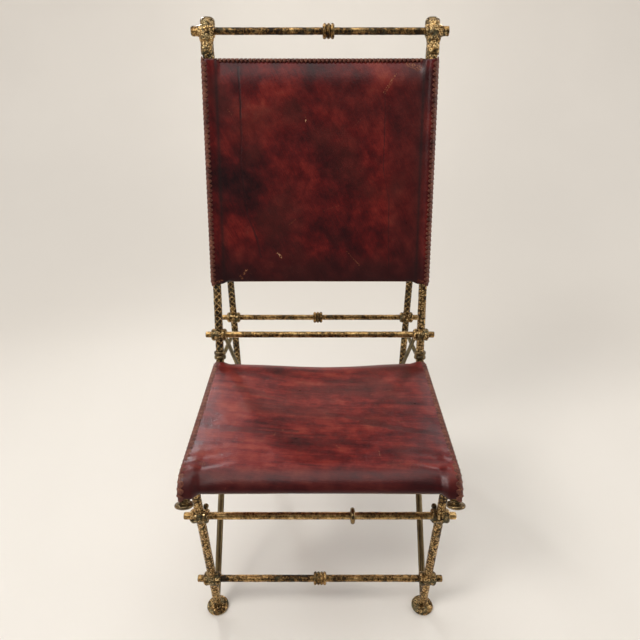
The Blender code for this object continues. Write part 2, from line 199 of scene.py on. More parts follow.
class Graph:
    """A material's node tree while it is being written."""

    def __init__(self, name: str) -> None:
        """Start an empty tree in a new material.

        Args:
            name: the material's name.
        """
        self.material = bpy.data.materials.new(name)
        self.material.use_nodes = True
        self.tree = self.material.node_tree
        self.tree.nodes.clear()

    def node(self, kind: str, settings: dict | None = None, sockets: dict | None = None,
             output: int | str = 0) -> Socket | None:
        """Add a node.

        Args:
            kind: the node's type.
            settings: its properties, set first; "stops" fills a colour ramp.
            sockets: values or links of its inputs, by name or number.
            output: the output to give back.

        Returns:
            That output, or None for a node without any.
        """
        made = self.tree.nodes.new(kind)
        for key, value in (settings or {}).items():
            if key == "stops":
                self._fill_ramp(made.color_ramp, value)
            else:
                setattr(made, key, value)
        for key, value in (sockets or {}).items():
            socket = made.inputs[key]
            if isinstance(value, Socket):
                self.tree.links.new(value.output, socket)
            elif socket.type == "RGBA":
                socket.default_value = (*value, 1.0)
            else:
                socket.default_value = value
        return Socket(self, made.outputs[output]) if made.outputs else None

    @staticmethod
    def _fill_ramp(ramp: bpy.types.ColorRamp, stops: Iterable[tuple[float, Colour]]) -> None:
        """Give a colour ramp these stops.

        Args:
            ramp: the ramp to fill.
            stops: positions with their colours.
        """
        stops = list(stops)
        while len(ramp.elements) < len(stops):
            ramp.elements.new(1.0)
        for element, (position, colour) in zip(ramp.elements, stops):
            element.position = position
            element.color = (*colour, 1.0)

    def place(self) -> Socket:
        """Object coordinates."""
        return self.node("ShaderNodeTexCoord", output="Object")

    def surface(self) -> Socket:
        """The piece's own map, in metres across and along."""
        return self.node("ShaderNodeUVMap", {"uv_map": PANEL_MAP})

    def stretched(self, coords: Socket, scale: tuple[float, float, float], turn: float = 0.0,
                  tilt: float = 0.0) -> Socket:
        """Coordinates turned about Z, tilted about X and then scaled along each axis."""
        turned = self.node("ShaderNodeMapping", None, {"Vector": coords, "Rotation": (tilt, 0.0, turn)})
        return self.node("ShaderNodeVectorMath", {"operation": "MULTIPLY"}, {0: turned, 1: scale})

    def noise(self, coords: Socket, scale: float, detail: float = 4.0, rough: float = 0.55,
              warp: float = 0.0) -> Socket:
        """Cloudy noise from 0 to 1."""
        values = {"Vector": coords, "Scale": scale, "Detail": detail, "Roughness": rough, "Distortion": warp}
        return self.node("ShaderNodeTexNoise", None, values)

    def cells(self, coords: Socket, scale: float, feature: str = "F1", jitter: float = 1.0) -> Socket:
        """Distance within scattered cells."""
        values = {"Vector": coords, "Scale": scale, "Randomness": jitter}
        return self.node("ShaderNodeTexVoronoi", {"feature": feature}, values)

    def ramp(self, tone: Socket, stops: Iterable[tuple[float, Colour]]) -> Socket:
        """A colour for each tone."""
        return self.node("ShaderNodeValToRGB", {"stops": stops}, {"Fac": tone})

    def mix(self, share: Value, first: Socket | Colour, second: Socket | Colour) -> Socket:
        """One colour going over to another."""
        slots = {0: share, 6: first, 7: second}
        return self.node("ShaderNodeMix", {"data_type": "RGBA"}, slots, output=2)

    def bump(self, height: Socket, distance: float, strength: float) -> Socket:
        """A normal raised by a height from 0 to 1."""
        values = {"Height": height, "Distance": distance, "Strength": strength}
        return self.node("ShaderNodeBump", None, values)

    def finish(self, **sockets: object) -> bpy.types.Material:
        """Close the tree with a Principled shader.

        Args:
            sockets: the shader's inputs, with underscores for spaces.

        Returns:
            The finished material.
        """
        named = {key.replace("_", " "): value for key, value in sockets.items()}
        shader = self.node("ShaderNodeBsdfPrincipled", None, named)
        self.node("ShaderNodeOutputMaterial", None, {"Surface": shader})
        return self.material


# Finishes


class Finish(Protocol):
    """Anything that writes its own material."""

    def build(self) -> bpy.types.Material:
        """Write the material.

        Returns:
            The finished material.
        """


@dataclass(frozen=True)
class GiltIron:
    """Hammered iron, gilt and rubbed so that the recesses stay dark.

    Args:
        chase: the decoration under the gilding.
        mapped: the pattern follows the piece's own map and not the space around it.
        tarnish: how far the gilding has gone green.
        wear: how much of the gilding has gone; on the bars partly painted light for bars in shade.
        facet_scale: hammered facets to the metre.
        ring_scale: punched rings to the metre.
        lattice_scale: lattice lines to the metre.
    """

    chase: Chase
    mapped: bool = True
    tarnish: float = 0.15
    wear: float = 0.0
    facet_scale: float = 170.0
    ring_scale: float = 118.0
    lattice_scale: float = 67.0

    def chased(self, graph: Graph, coords: Socket) -> Socket | None:
        """The raised lines of the decoration, 1 on a line.

        Args:
            graph: the tree to add to.
            coords: the coordinates that the pattern follows.

        Returns:
            The lines as a mask, or None for plain peened iron.
        """
        if self.chase is Chase.RINGS:
            punched = graph.cells(coords, self.ring_scale, jitter=0.45)
            return abs(punched - 0.36).smooth(0.02, 0.15, 1.0, 0.0)
        if self.chase is Chase.LATTICE:
            warped = graph.noise(coords, 70.0, 2.0) * 0.22
            split = graph.node("ShaderNodeSeparateXYZ", None, {"Vector": coords})
            across = split * self.lattice_scale + warped
            along = split.other("Y") * self.lattice_scale
            rising = abs((across + along).fraction() - 0.5).smooth(0.02, 0.13, 1.0, 0.0)
            falling = abs((across - along).fraction() - 0.5).smooth(0.02, 0.13, 1.0, 0.0)
            return rising.most(falling)
        return None

    def build(self) -> bpy.types.Material:
        """Write the material.

        Returns:
            The finished material.
        """
        kind = f"{self.chase.name.lower()}_{round(self.ring_scale)}"
        graph = Graph(f"gilt_iron_{kind}_{round(100 * self.tarnish)}_{round(100 * (1.0 - self.wear))}")
        space = graph.place()
        coords = graph.surface() if self.mapped else space
        facets = graph.cells(coords, self.facet_scale, "SMOOTH_F1")
        clouds = graph.noise(space, 22.0, 5.0, 0.65)
        grain = graph.noise(space, 420.0, 4.0, 0.65)
        relief = facets * 0.7 + grain * 0.5
        rub = facets * 0.55 + (clouds - 0.5) * 1.3 + (grain - 0.5) * 1.15 + 0.29 - self.wear
        chased = self.chased(graph, coords)
        if chased is not None:
            relief = relief + chased * 0.8
            ground = 0.24 if self.chase is Chase.LATTICE else 0.10
            rub = rub + chased * grain.smooth(0.36, 0.60, 0.22, 0.62) - ground
        rub = rub.clamped()
        gilt = graph.ramp(rub, [
            (0.12, (0.010, 0.0062, 0.0035)),
            (0.36, (0.044, 0.025, 0.0098)),
            (0.52, (0.228, 0.128, 0.047)),
            (0.74, (0.535, 0.318, 0.113)),
            (1.00, (0.845, 0.600, 0.285)),
        ])
        patches = graph.noise(space, 60.0, 3.0).smooth(0.46, 0.66, 0.0, self.tarnish * 2.0)
        colour = graph.mix(patches, gilt, (0.130, 0.125, 0.072))
        return graph.finish(
            Base_Color=colour,
            Metallic=rub.smooth(0.0, 0.4, 0.60, 0.95),
            Roughness=rub.smooth(0.1, 0.9, 0.52, 0.30),
            Normal=graph.bump(relief, 0.0011, 0.75),
        )


@dataclass(frozen=True)
class DarkIron:
    """Iron with a polished near-black patina, rubbed to bronze in places.

    Args:
        rubbed: how much of the patina is rubbed off.
    """

    rubbed: float = 0.2

    def build(self) -> bpy.types.Material:
        """Write the material.

        Returns:
            The finished material.
        """
        graph = Graph(f"dark_iron_rubbed_{round(100 * self.rubbed)}")
        space = graph.place()
        clouds = graph.noise(space, 95.0, 4.0, 0.6)
        grain = graph.noise(space, 420.0, 3.0)
        rub = (clouds * 0.75 + grain * 0.25 + 0.35 * self.rubbed).smooth(0.44, 0.84)
        colour = graph.mix(rub, (0.020, 0.016, 0.013), (0.250, 0.165, 0.072))
        return graph.finish(
            Base_Color=colour,
            Metallic=0.85,
            Roughness=grain.smooth(0.3, 0.7, 0.16, 0.30),
            Normal=graph.bump(clouds * 0.7 + grain * 0.3, 0.0007, 0.25),
        )


@dataclass(frozen=True)
class DrawnIron:
    """Drawn rod, dull and striated along its length.

    Args:
        name: the brace it is for.
        tilt: the turn about X that brings the rod's length onto Y.
        lift: how far the bright metal shows through.
        blue: the share of blue kept, less for more gilt.
    """

    name: str
    tilt: float
    lift: float = -0.30
    blue: float = 1.0

    def build(self) -> bpy.types.Material:
        """Write the material.

        Returns:
            The finished material.
        """
        graph = Graph(f"drawn_iron_{self.name}")
        space = graph.place()
        drawn = graph.noise(graph.stretched(space, (300.0, 8.0, 300.0), tilt=self.tilt), 1.0, 3.0, 0.6)
        clouds = graph.noise(space, 45.0, 3.0)
        rub = (drawn * 1.30 + clouds * 0.40 + self.lift).clamped()
        colour = graph.ramp(rub, [
            (0.30, (0.022, 0.015, 0.0075 * self.blue)),
            (0.48, (0.085, 0.056, 0.0250 * self.blue)),
            (0.66, (0.200, 0.140, 0.0640 * self.blue)),
            (0.85, (0.360, 0.265, 0.1350 * self.blue)),
        ])
        return graph.finish(
            Base_Color=colour,
            Metallic=0.8,
            Roughness=rub.smooth(0.3, 0.8, 0.56, 0.38),
            Normal=graph.bump(drawn, 0.0006, 0.5),
        )


@dataclass(frozen=True)
class Mark:
    """A straight stroke on a sheet's own map, in metres from its middle and from its lower edge.

    Args:
        start: one end, across and along.
        end: the other end.
        width: half its width.
        strength: how strongly it shows.
    """

    start: tuple[float, float]
    end: tuple[float, float]
    width: float
    strength: float

    def mask(self, across: Socket, along: Socket) -> Socket:
        """The stroke as a mask that fades at its edges.

        Args:
            across: metres from the sheet's middle.
            along: metres from its lower edge.

        Returns:
            The mask, at full strength on the stroke's line.
        """
        run_x = self.end[0] - self.start[0]
        run_y = self.end[1] - self.start[1]
        square = run_x * run_x + run_y * run_y
        from_x = across - self.start[0]
        from_y = along - self.start[1]
        share = (from_x * (run_x / square) + from_y * (run_y / square)).clamped()
        off_x = from_x - share * run_x
        off_y = from_y - share * run_y
        distance = off_x * off_x + off_y * off_y
        return distance.smooth(0.0, self.width * self.width, self.strength, 0.0)


def strokes(*rows: tuple[float, float, float, float, float, float]) -> tuple[Mark, ...]:
    """Strokes from rows of start, end, half width and strength."""
    return tuple(Mark(row[:2], row[2:4], *row[4:]) for row in rows)


def chain(points: list[tuple[float, float]], width: float, strength: float) -> tuple[Mark, ...]:
    """Strokes that join points in order."""
    return tuple(Mark(a, b, width, strength) for a, b in zip(points, points[1:]))


@dataclass(frozen=True)
class WornLeather:
    """Waxed oxblood leather, rubbed, creased and scratched, with painted shade in its creases, seams and
    hems.

    Args:
        name: the sling it covers.
        streaks: how many times finer the dye's streaks are along the sling than across it.
        turn: the streaks' slant.
        brighten: how far the tone is lifted, which on the seat is painted light.
        dark_hem: how far from the lower edge the leather is darker, which on the seat is painted shade on the
            apron.
        stains: broad places gone brown or dark, down the back's right band partly painted shade.
        creases: lines pressed into it, darkened with painted shade.
        scuffs: pale marks worn through the dye, on the seat's front roll and corners partly painted sheen.
    """

    name: str
    streaks: float
    turn: float
    brighten: float
    dark_hem: float
    stains: tuple[Mark, ...]
    creases: tuple[Mark, ...]
    scuffs: tuple[Mark, ...]

    @staticmethod
    def together(marks: Iterable[Mark], across: Socket, along: Socket) -> Value:
        """The strongest of several strokes at each point.

        Args:
            marks: the strokes.
            across: metres from the sheet's middle.
            along: metres from its lower edge.

        Returns:
            Their joint mask, or 0 without strokes.
        """
        whole: Value = 0.0
        for mark in marks:
            mask = mark.mask(across, along)
            whole = mask if not isinstance(whole, Socket) else whole.most(mask)
        return whole

    def hairlines(self, graph: Graph, flat: Socket) -> Socket:
        """Fine scratches in three directions, thicker in some places than in others.

        Args:
            graph: the tree to add to.
            flat: the sheet's own map.

        Returns:
            The scratches as a mask.
        """
        density = graph.noise(flat, 14.0, 3.0).smooth(0.45, 0.72)
        whole: Socket | None = None
        for turn, length, fine in ((0.5, 17.0, 420.0), (-0.9, 24.0, 520.0), (1.9, 30.0, 460.0)):
            lines = graph.cells(graph.stretched(flat, (length, fine, 1.0), turn), 1.0)
            lines = lines.smooth(0.03, 0.11, 1.0, 0.0)
            whole = lines if whole is None else whole.most(lines)
        return whole * density

    def build(self) -> bpy.types.Material:
        """Write the material.

        Returns:
            The finished material.
        """
        graph = Graph(f"worn_leather_{self.name}")
        space = graph.place()
        flat = graph.surface()
        mottle = graph.noise(space, 8.5, 5.0, 0.62)
        blotch = graph.noise(space, 34.0, 4.0, 0.6)
        drawn = graph.stretched(flat, (5.0, 5.0 * self.streaks, 1.0), self.turn)
        streak = graph.noise(drawn, 1.0, 6.0, 0.66, 0.5)
        fine = graph.noise(graph.stretched(flat, (30.0, 420.0, 1.0), self.turn), 1.0, 4.0, 0.6)
        tone = mottle * 0.50 + blotch * 0.22 + streak * 0.50 + fine * 0.16 + (self.brighten - 0.19)
        dyed = graph.ramp(tone, [
            (0.30, (0.015, 0.0028, 0.0036)),
            (0.42, (0.045, 0.0034, 0.0040)),
            (0.51, (0.092, 0.0050, 0.0048)),
            (0.60, (0.163, 0.0118, 0.0082)),
            (0.72, (0.245, 0.0350, 0.0195)),
        ])
        wander = graph.noise(space, 70.0, 2.0) * 0.004 - 0.002
        split = graph.node("ShaderNodeSeparateXYZ", None, {"Vector": flat})
        across = split + wander
        along = split.other("Y") + wander
        brown = graph.noise(space, 5.5, 4.0, 0.6).smooth(0.50, 0.66, 0.0, 0.55)
        stain = self.together(self.stains, across, along) * blotch.smooth(0.25, 0.60, 0.55, 1.0)
        colour = graph.mix(brown, dyed, (0.062, 0.0110, 0.0080))
        colour = graph.mix(stain, colour, (0.028, 0.0085, 0.0075))
        # Painted shade from the sheets' shade layer: the valleys beside the pockets and the curled hems.
        shade = graph.node("ShaderNodeAttribute", {"attribute_name": SHADE_LAYER}, output="Fac")
        colour = graph.mix(shade, colour, (0.014, 0.0060, 0.0055))
        # Darker towards the lower edge; on the seat this is painted shade on the apron.
        worn_low = (split.other("Y") + (mottle - 0.5) * 0.06).smooth(0.0, self.dark_hem, 0.66, 0.0)
        colour = graph.mix(worn_low, colour, (0.020, 0.0036, 0.0040))
        # Painted shade in the creases: the crease strokes darken the colour almost to black.
        crease = self.together(self.creases, across, along)
        broken = (streak * 0.6 + blotch * 0.4).smooth(0.42, 0.58, 0.25, 1.0)
        colour = graph.mix(crease * broken, colour, (0.010, 0.0055, 0.0060))
        speckle = graph.noise(graph.stretched(flat, (260.0, 420.0, 1.0), 0.9), 1.0, 3.0)
        speckle = speckle.smooth(0.42, 0.62, 0.04, 1.0)
        scuff = self.together(self.scuffs, across, along) * speckle
        hair = self.hairlines(graph, flat) * 0.6
        tan = graph.ramp(scuff, [
            (0.25, (0.190, 0.050, 0.020)),
            (0.60, (0.330, 0.130, 0.052)),
            (0.92, (0.600, 0.390, 0.230)),
        ])
        colour = graph.mix(hair, colour, (0.235, 0.085, 0.050))
        colour = graph.mix(scuff.smooth(0.02, 0.60, 0.0, 0.9), colour, tan)
        pores = graph.noise(space, 1300.0, 2.0)
        cracks = graph.stretched(flat, (300.0, 380.0, 1.0))
        crackle = graph.cells(cracks, 1.0, "DISTANCE_TO_EDGE").smooth(0.0, 0.25)
        relief = pores * 0.22 + crackle * 0.25 + fine * 0.22 + blotch * 1.2
        relief = relief - crease * 0.8 - scuff * 0.3 - hair * 0.3
        gloss = 0.345 + (blotch - 0.5) * 0.24 + (streak - 0.5) * 0.20 + scuff * 0.25 + shade * 0.08
        return graph.finish(
            Base_Color=colour,
            Roughness=gloss.most(0.27).clamped(),
            Specular_IOR_Level=0.27,
            Coat_Weight=0.10,
            Coat_Roughness=0.22,
            Normal=graph.bump(relief, 0.0007, 0.55),
        )


@dataclass(frozen=True)
class LaceLeather:
    """Dark waxed lace, lighter in patches along both edges of the strip."""

    def build(self) -> bpy.types.Material:
        """Write the material.

        Returns:
            The finished material.
        """
        graph = Graph("lace_leather")
        space = graph.place()
        grain = graph.noise(space, 260.0, 4.0, 0.6)
        clouds = graph.noise(space, 40.0, 3.0)
        across = graph.node("ShaderNodeSeparateXYZ", None, {"Vector": graph.surface()})
        edge = abs(across.fraction() - 0.5).smooth(0.0, 0.24, 1.0, 0.0)
        colour = graph.ramp(grain * 0.6 + clouds * 0.4, [
            (0.36, (0.040, 0.0120, 0.0090)),
            (0.50, (0.120, 0.0330, 0.0215)),
            (0.66, (0.235, 0.0860, 0.0480)),
        ])
        colour = graph.mix(edge * clouds.smooth(0.30, 0.60, 0.15, 0.85), colour, (0.310, 0.130, 0.070))
        return graph.finish(
            Base_Color=colour,
            Roughness=grain.smooth(0.3, 0.7, 0.42, 0.60),
            Specular_IOR_Level=0.28,
            Normal=graph.bump(grain, 0.0005, 0.5),
        )


@dataclass(frozen=True)
class CutEdge:
    """The raw tan edge of cut leather."""

    def build(self) -> bpy.types.Material:
        """Write the material.

        Returns:
            The finished material.
        """
        graph = Graph("leather_cut_edge")
        fibres = graph.noise(graph.place(), 700.0, 3.0)
        colour = graph.mix(fibres.smooth(0.35, 0.65), (0.150, 0.070, 0.036), (0.430, 0.260, 0.145))
        return graph.finish(Base_Color=colour, Roughness=0.72, Normal=graph.bump(fibres, 0.0004, 0.4))


@dataclass(frozen=True)
class PaleFloor:
    """Warm pale studio paper, with painted light up the wall and painted shade to the sides behind."""

    def build(self) -> bpy.types.Material:
        """Write the material.

        Returns:
            The finished material.
        """
        graph = Graph("studio_paper")
        space = graph.place()
        clouds = graph.noise(space, 1.6, 3.0).smooth(0.35, 0.65, 0.0, 0.15)
        split = graph.node("ShaderNodeSeparateXYZ", None, {"Vector": space})
        # Painted shade to the sides behind, painted light up the wall.
        behind = split.other("Y").smooth(-0.3, 1.5, 0.0, 0.85) * abs(split).smooth(0.2, 1.3, 0.0, 1.0)
        wall = split.other("Z").smooth(0.1, 0.8, 0.0, 1.0)
        middle = graph.mix(wall, (0.790, 0.740, 0.672), (0.890, 0.834, 0.758))
        sides = graph.mix(wall, (0.728, 0.681, 0.618), (0.770, 0.720, 0.655))
        colour = graph.mix(behind + clouds, middle, sides)
        return graph.finish(Base_Color=colour, Roughness=0.85)


KNOTTED_GILT = GiltIron(Chase.RINGS, mapped=False, tarnish=0.30, ring_scale=125.0)
BEAD_GILT = GiltIron(Chase.PEENED, mapped=False)
FOOT_GILT = GiltIron(Chase.RINGS, mapped=False, tarnish=0.35)


# Mesh helpers


def basis(origin: Vector, along: Vector, hint: Vector) -> Matrix:
    """A frame with Z along a direction and X towards a hint.

    Args:
        origin: where it sits.
        along: the direction of its Z.
        hint: roughly where its X points.

    Returns:
        The frame as a matrix.
    """
    z_axis = along.normalized()
    x_axis = (hint - z_axis * hint.dot(z_axis)).normalized()
    frame = Matrix((x_axis, z_axis.cross(x_axis), z_axis)).transposed().to_4x4()
    frame.translation = origin
    return frame


def straight(start: Vector, end: Vector, step: float) -> list[Matrix]:
    """Frames at equal steps along a line.

    Args:
        start: the line's first point.
        end: its last point.
        step: about how far apart they are.

    Returns:
        The frames, with Z along the line.
    """
    along = end - start
    hint = UPWARD if abs(along.x) > abs(along.z) else ACROSS
    count = max(2, round(along.length / step))
    return [basis(start.lerp(end, i / count), along, hint) for i in range(count + 1)]


def rounded(points: list[tuple[float, float]], passes: int = 2) -> list[tuple[float, float]]:
    """A profile with its corners cut again and again, its ends kept.

    Args:
        points: the profile's corners.
        passes: how often they are cut.

    Returns:
        The rounder profile.
    """
    for _ in range(passes):
        cut = [points[0]]
        for (ax, ay), (bx, by) in zip(points, points[1:]):
            cut.append((0.75 * ax + 0.25 * bx, 0.75 * ay + 0.25 * by))
            cut.append((0.25 * ax + 0.75 * bx, 0.25 * ay + 0.75 * by))
        points = cut + [points[-1]]
    return points


def sweep(frames: list[Matrix], outline: list[tuple[float, float]], girth: float,
          end_bevel: float = 0.0) -> bmesh.types.BMesh:
    """Extrude an outline from frame to frame, and map it in metres around and along.

    Args:
        frames: places along the run, with Z along it.
        outline: points in a frame's X and Y.
        girth: the distance around, for the map.
        end_bevel: the rounding of both ends.

    Returns:
        A closed mesh.
    """
    bm = bmesh.new()
    turns = bm.verts.layers.float.new(TURN_LAYER)
    runs = bm.verts.layers.float.new(ALONG_LAYER)
    ring = [bm.verts.new(frames[0] @ Vector((x, y, 0.0))) for x, y in outline]
    for index, vert in enumerate(ring):
        vert[turns] = index / len(ring)
    edges = [bm.edges.new((a, b)) for a, b in zip(ring, ring[1:] + ring[:1])]
    first_edges = list(edges)
    run = 0.0
    for before, after in zip(frames, frames[1:]):
        run += (after.translation - before.translation).length
        grown = bmesh.ops.extrude_edge_only(bm, edges=edges)["geom"]
        fresh = [item for item in grown if isinstance(item, bmesh.types.BMVert)]
        edges = [item for item in grown if isinstance(item, bmesh.types.BMEdge)]
        bmesh.ops.transform(bm, matrix=after @ before.inverted(), verts=fresh)
        for vert in fresh:
            vert[runs] = run
    bmesh.ops.holes_fill(bm, edges=first_edges + edges)
    if end_bevel > 0.0:
        bmesh.ops.bevel(bm, geom=first_edges + edges, offset=end_bevel, offset_type="OFFSET", affect="EDGES",
                        segments=3, profile=0.5, material=-1)
    bmesh.ops.recalc_face_normals(bm, faces=bm.faces)
    mapped = bm.loops.layers.uv.new(PANEL_MAP)
    for face in bm.faces:
        around = [loop.vert[turns] for loop in face.loops]
        wraps = max(around) - min(around) > 0.5
        for loop, turn in zip(face.loops, around):
            loop[mapped].uv = ((turn + (wraps and turn < 0.5)) * girth, loop.vert[runs])
    return bm


def mirrored(profile: list[tuple[float, float]]) -> list[tuple[float, float]]:
    """A profile's other half, with its distances the other way."""
    return [(-along, radius) for along, radius in reversed(profile)]


def circle(radius: float, sides: int) -> list[tuple[float, float]]:
    """Points round a circle."""
    turns = [2.0 * math.pi * i / sides for i in range(sides)]
    return [(radius * math.cos(turn), radius * math.sin(turn)) for turn in turns]


def turned(profile: list[tuple[float, float]], seat: Vector, axis: Vector, closed: bool = False,
           segments: int = 48) -> bmesh.types.BMesh:
    """Spin a profile of (distance along, radius) about an axis.

    Args:
        profile: points from one end to the other; an open one starts and ends on the axis.
        seat: where the profile's zero lies.
        axis: the direction of its distances.
        closed: join the last point to the first, for a piece with a bore.
        segments: steps in the full turn.

    Returns:
        A closed mesh.
    """
    bm = bmesh.new()
    points = profile if closed else [(profile[0][0], 0.0), *profile, (profile[-1][0], 0.0)]
    verts = [bm.verts.new((radius, 0.0, along)) for along, radius in points]
    pairs = list(zip(verts, verts[1:])) + ([(verts[-1], verts[0])] if closed else [])
    edges = [bm.edges.new(pair) for pair in pairs]
    bmesh.ops.spin(bm, geom=verts + edges, axis=(0.0, 0.0, 1.0), cent=(0.0, 0.0, 0.0), angle=2.0 * math.pi,
                   steps=segments, use_merge=True)
    bmesh.ops.remove_doubles(bm, verts=bm.verts, dist=1e-6)
    bmesh.ops.recalc_face_normals(bm, faces=bm.faces)
    hint = UPWARD if abs(axis.x) > abs(axis.z) else ACROSS
    bmesh.ops.transform(bm, matrix=basis(seat, axis, hint), verts=bm.verts)
    return bm


def hammer(bm: bmesh.types.BMesh, depth: float, spacing: float, finer: float = 0.4,
           shallower: float = 0.5) -> None:
    """Beat broad and small dents into a mesh.

    Args:
        bm: the mesh, changed in place.
        depth: the dents' depth.
        spacing: how far apart they are.
        finer: the small dents' share of the spacing.
        shallower: the small dents' share of the depth.
    """
    bm.normal_update()
    for vert in bm.verts:
        broad = noise.noise(vert.co / spacing)
        small = noise.noise(vert.co / (finer * spacing))
        vert.co += vert.normal * depth * (broad + shallower * small)


def bell(value: float, middle: float, reach: float) -> float:
    """A smooth bump of height 1 about a middle."""
    return math.exp(-(((value - middle) / reach) ** 2))


# Pieces and sub-assemblies


class Workshop:
    """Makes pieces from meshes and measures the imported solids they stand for."""

    def __init__(self, frame: dict) -> None:
        """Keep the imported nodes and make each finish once."""
        self.nodes = frame["nodes"]
        self.materials: dict[Finish, bpy.types.Material] = {}

    def material(self, finish: Finish) -> bpy.types.Material:
        """The material of a finish, made the first time it is asked for.

        Args:
            finish: the finish.

        Returns:
            Its material.
        """
        if finish not in self.materials:
            self.materials[finish] = finish.build()
        return self.materials[finish]

    def points(self, node: str) -> np.ndarray:
        """A node's vertices."""
        return np.array([vert.co for vert in self.nodes[node].data.vertices])

    def centre(self, node: str) -> Vector:
        """The middle of a node's box."""
        low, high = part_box(node)
        return (low + high) / 2.0

    def ends(self, node: str, slack: float = 0.0012) -> tuple[Vector, Vector]:
        """The middles of a straight rod's two ends, the lower or left one first.

        Args:
            node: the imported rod.
            slack: how much of its length counts as its end.

        Returns:
            Both middles.
        """
        points = self.points(node)
        middle = points.mean(axis=0)
        along = np.linalg.svd(points - middle, full_matrices=False)[2][0]
        if along[np.argmax(np.abs(along))] < 0.0:
            along = -along
        run = (points - middle) @ along
        first = points[run < run.min() + slack].mean(axis=0)
        last = points[run > run.max() - slack].mean(axis=0)
        return Vector(first), Vector(last)

    def piece(self, name: str, bm: bmesh.types.BMesh, finishes: Iterable[Finish], slot: Slot,
              replaces: Iterable[str] = (), body: Body = Body.FRAME, sharp: float = 50.0) -> bpy.types.Object:
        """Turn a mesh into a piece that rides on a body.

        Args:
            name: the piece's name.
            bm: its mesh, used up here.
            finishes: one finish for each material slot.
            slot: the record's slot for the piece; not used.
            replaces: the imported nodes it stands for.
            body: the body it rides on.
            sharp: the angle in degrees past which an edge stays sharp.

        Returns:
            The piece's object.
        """
        mesh = bpy.data.meshes.new(name)
        bm.to_mesh(mesh)
        bm.free()
        mesh.shade_smooth()
        mesh.set_sharp_from_angle(angle=math.radians(sharp))
        made = bpy.data.objects.new(name, mesh)
        bpy.context.scene.collection.objects.link(made)
        for finish in finishes:
            mesh.materials.append(self.material(finish))
        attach(made, body.value)
        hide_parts(*replaces)
        LOG.info("%s: %d faces", name, len(mesh.polygons))
        return made

    def dress(self, node: str, finish: Finish) -> None:
        """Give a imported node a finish.

        Args:
            node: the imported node.
            finish: its finish.
        """
        mesh = self.nodes[node].data
        mesh.materials.clear()
        mesh.materials.append(self.material(finish))
        LOG.info("%s: dressed", node)


@dataclass
class RodFrame:
    """The straight rods: posts, legs and cross bars.

    Args:
        shop: the workshop that makes the pieces.
        post_radius, leg_radius, bar_radius: the rods' radii.
        sides, step: the sides of a rod, and the distance between its rings of points.
        dent, dent_spacing: the depth and spacing of the hammered dents.
        end_bevel: the rounding of a rod's ends.
        bars: each cross bar with its wear, partly painted light that lifts the bars lying in shade.
    """

    shop: Workshop
    post_radius: float = 0.0095
    leg_radius: float = 0.0090
    bar_radius: float = 0.0073
    sides: int = 24
    step: float = 0.0030
    dent: float = 0.00034
    dent_spacing: float = 0.013
    end_bevel: float = 0.0022
    # Partly painted light: the upper front and lumbar bars, in shade, are gilt brighter and the top bar
    # duller.
    bars: tuple[tuple[str, float], ...] = (("top_bar", 0.13), ("lumbar_bar", -0.02), ("rear_bar", 0.0),
                                           ("upper_front_bar", -0.10), ("lower_front_bar", 0.04))

    def rod(self, node: str, start: Vector, end: Vector, radius: float, chase: Chase,
            wear: float = 0.0) -> None:
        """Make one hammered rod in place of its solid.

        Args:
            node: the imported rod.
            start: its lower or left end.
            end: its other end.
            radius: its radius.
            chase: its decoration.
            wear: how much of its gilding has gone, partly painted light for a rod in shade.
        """
        frames = straight(start, end, self.step)
        bm = sweep(frames, circle(radius, self.sides), 2.0 * math.pi * radius, self.end_bevel)
        hammer(bm, self.dent, self.dent_spacing)
        self.shop.piece("hammered_" + node, bm, [GiltIron(chase, wear=wear)], Slot.GILT, [node])

    def front_leg(self, side: Side) -> tuple[Vector, Vector]:
        """A front leg's ends, on the line through its two bosses.

        Args:
            side: the chair's side.

        Returns:
            The lower and the upper end.
        """
        low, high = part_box(side.node("front_leg"))
        lower = self.shop.centre(side.node("lower_front_boss"))
        upper = self.shop.centre(side.node("upper_front_boss"))
        slope = (upper - lower) / (upper.z - lower.z)
        return lower + slope * (low.z - lower.z), lower + slope * (high.z - lower.z)

    def build(self) -> None:
        """Make every straight rod."""
        chases = {Side.LEFT: Chase.LATTICE, Side.RIGHT: Chase.RINGS}
        for side in Side:
            post = side.node("back_post")
            self.rod(post, *self.shop.ends(post), self.post_radius, chases[side])
            self.rod(side.node("front_leg"), *self.front_leg(side), self.leg_radius, Chase.RINGS)
            rear = side.node("rear_leg")
            self.rod(rear, *self.shop.ends(rear), self.leg_radius, Chase.LATTICE)
        for bar, wear in self.bars:
            self.rod(bar, *self.shop.ends(bar), self.bar_radius, Chase.PEENED, wear)


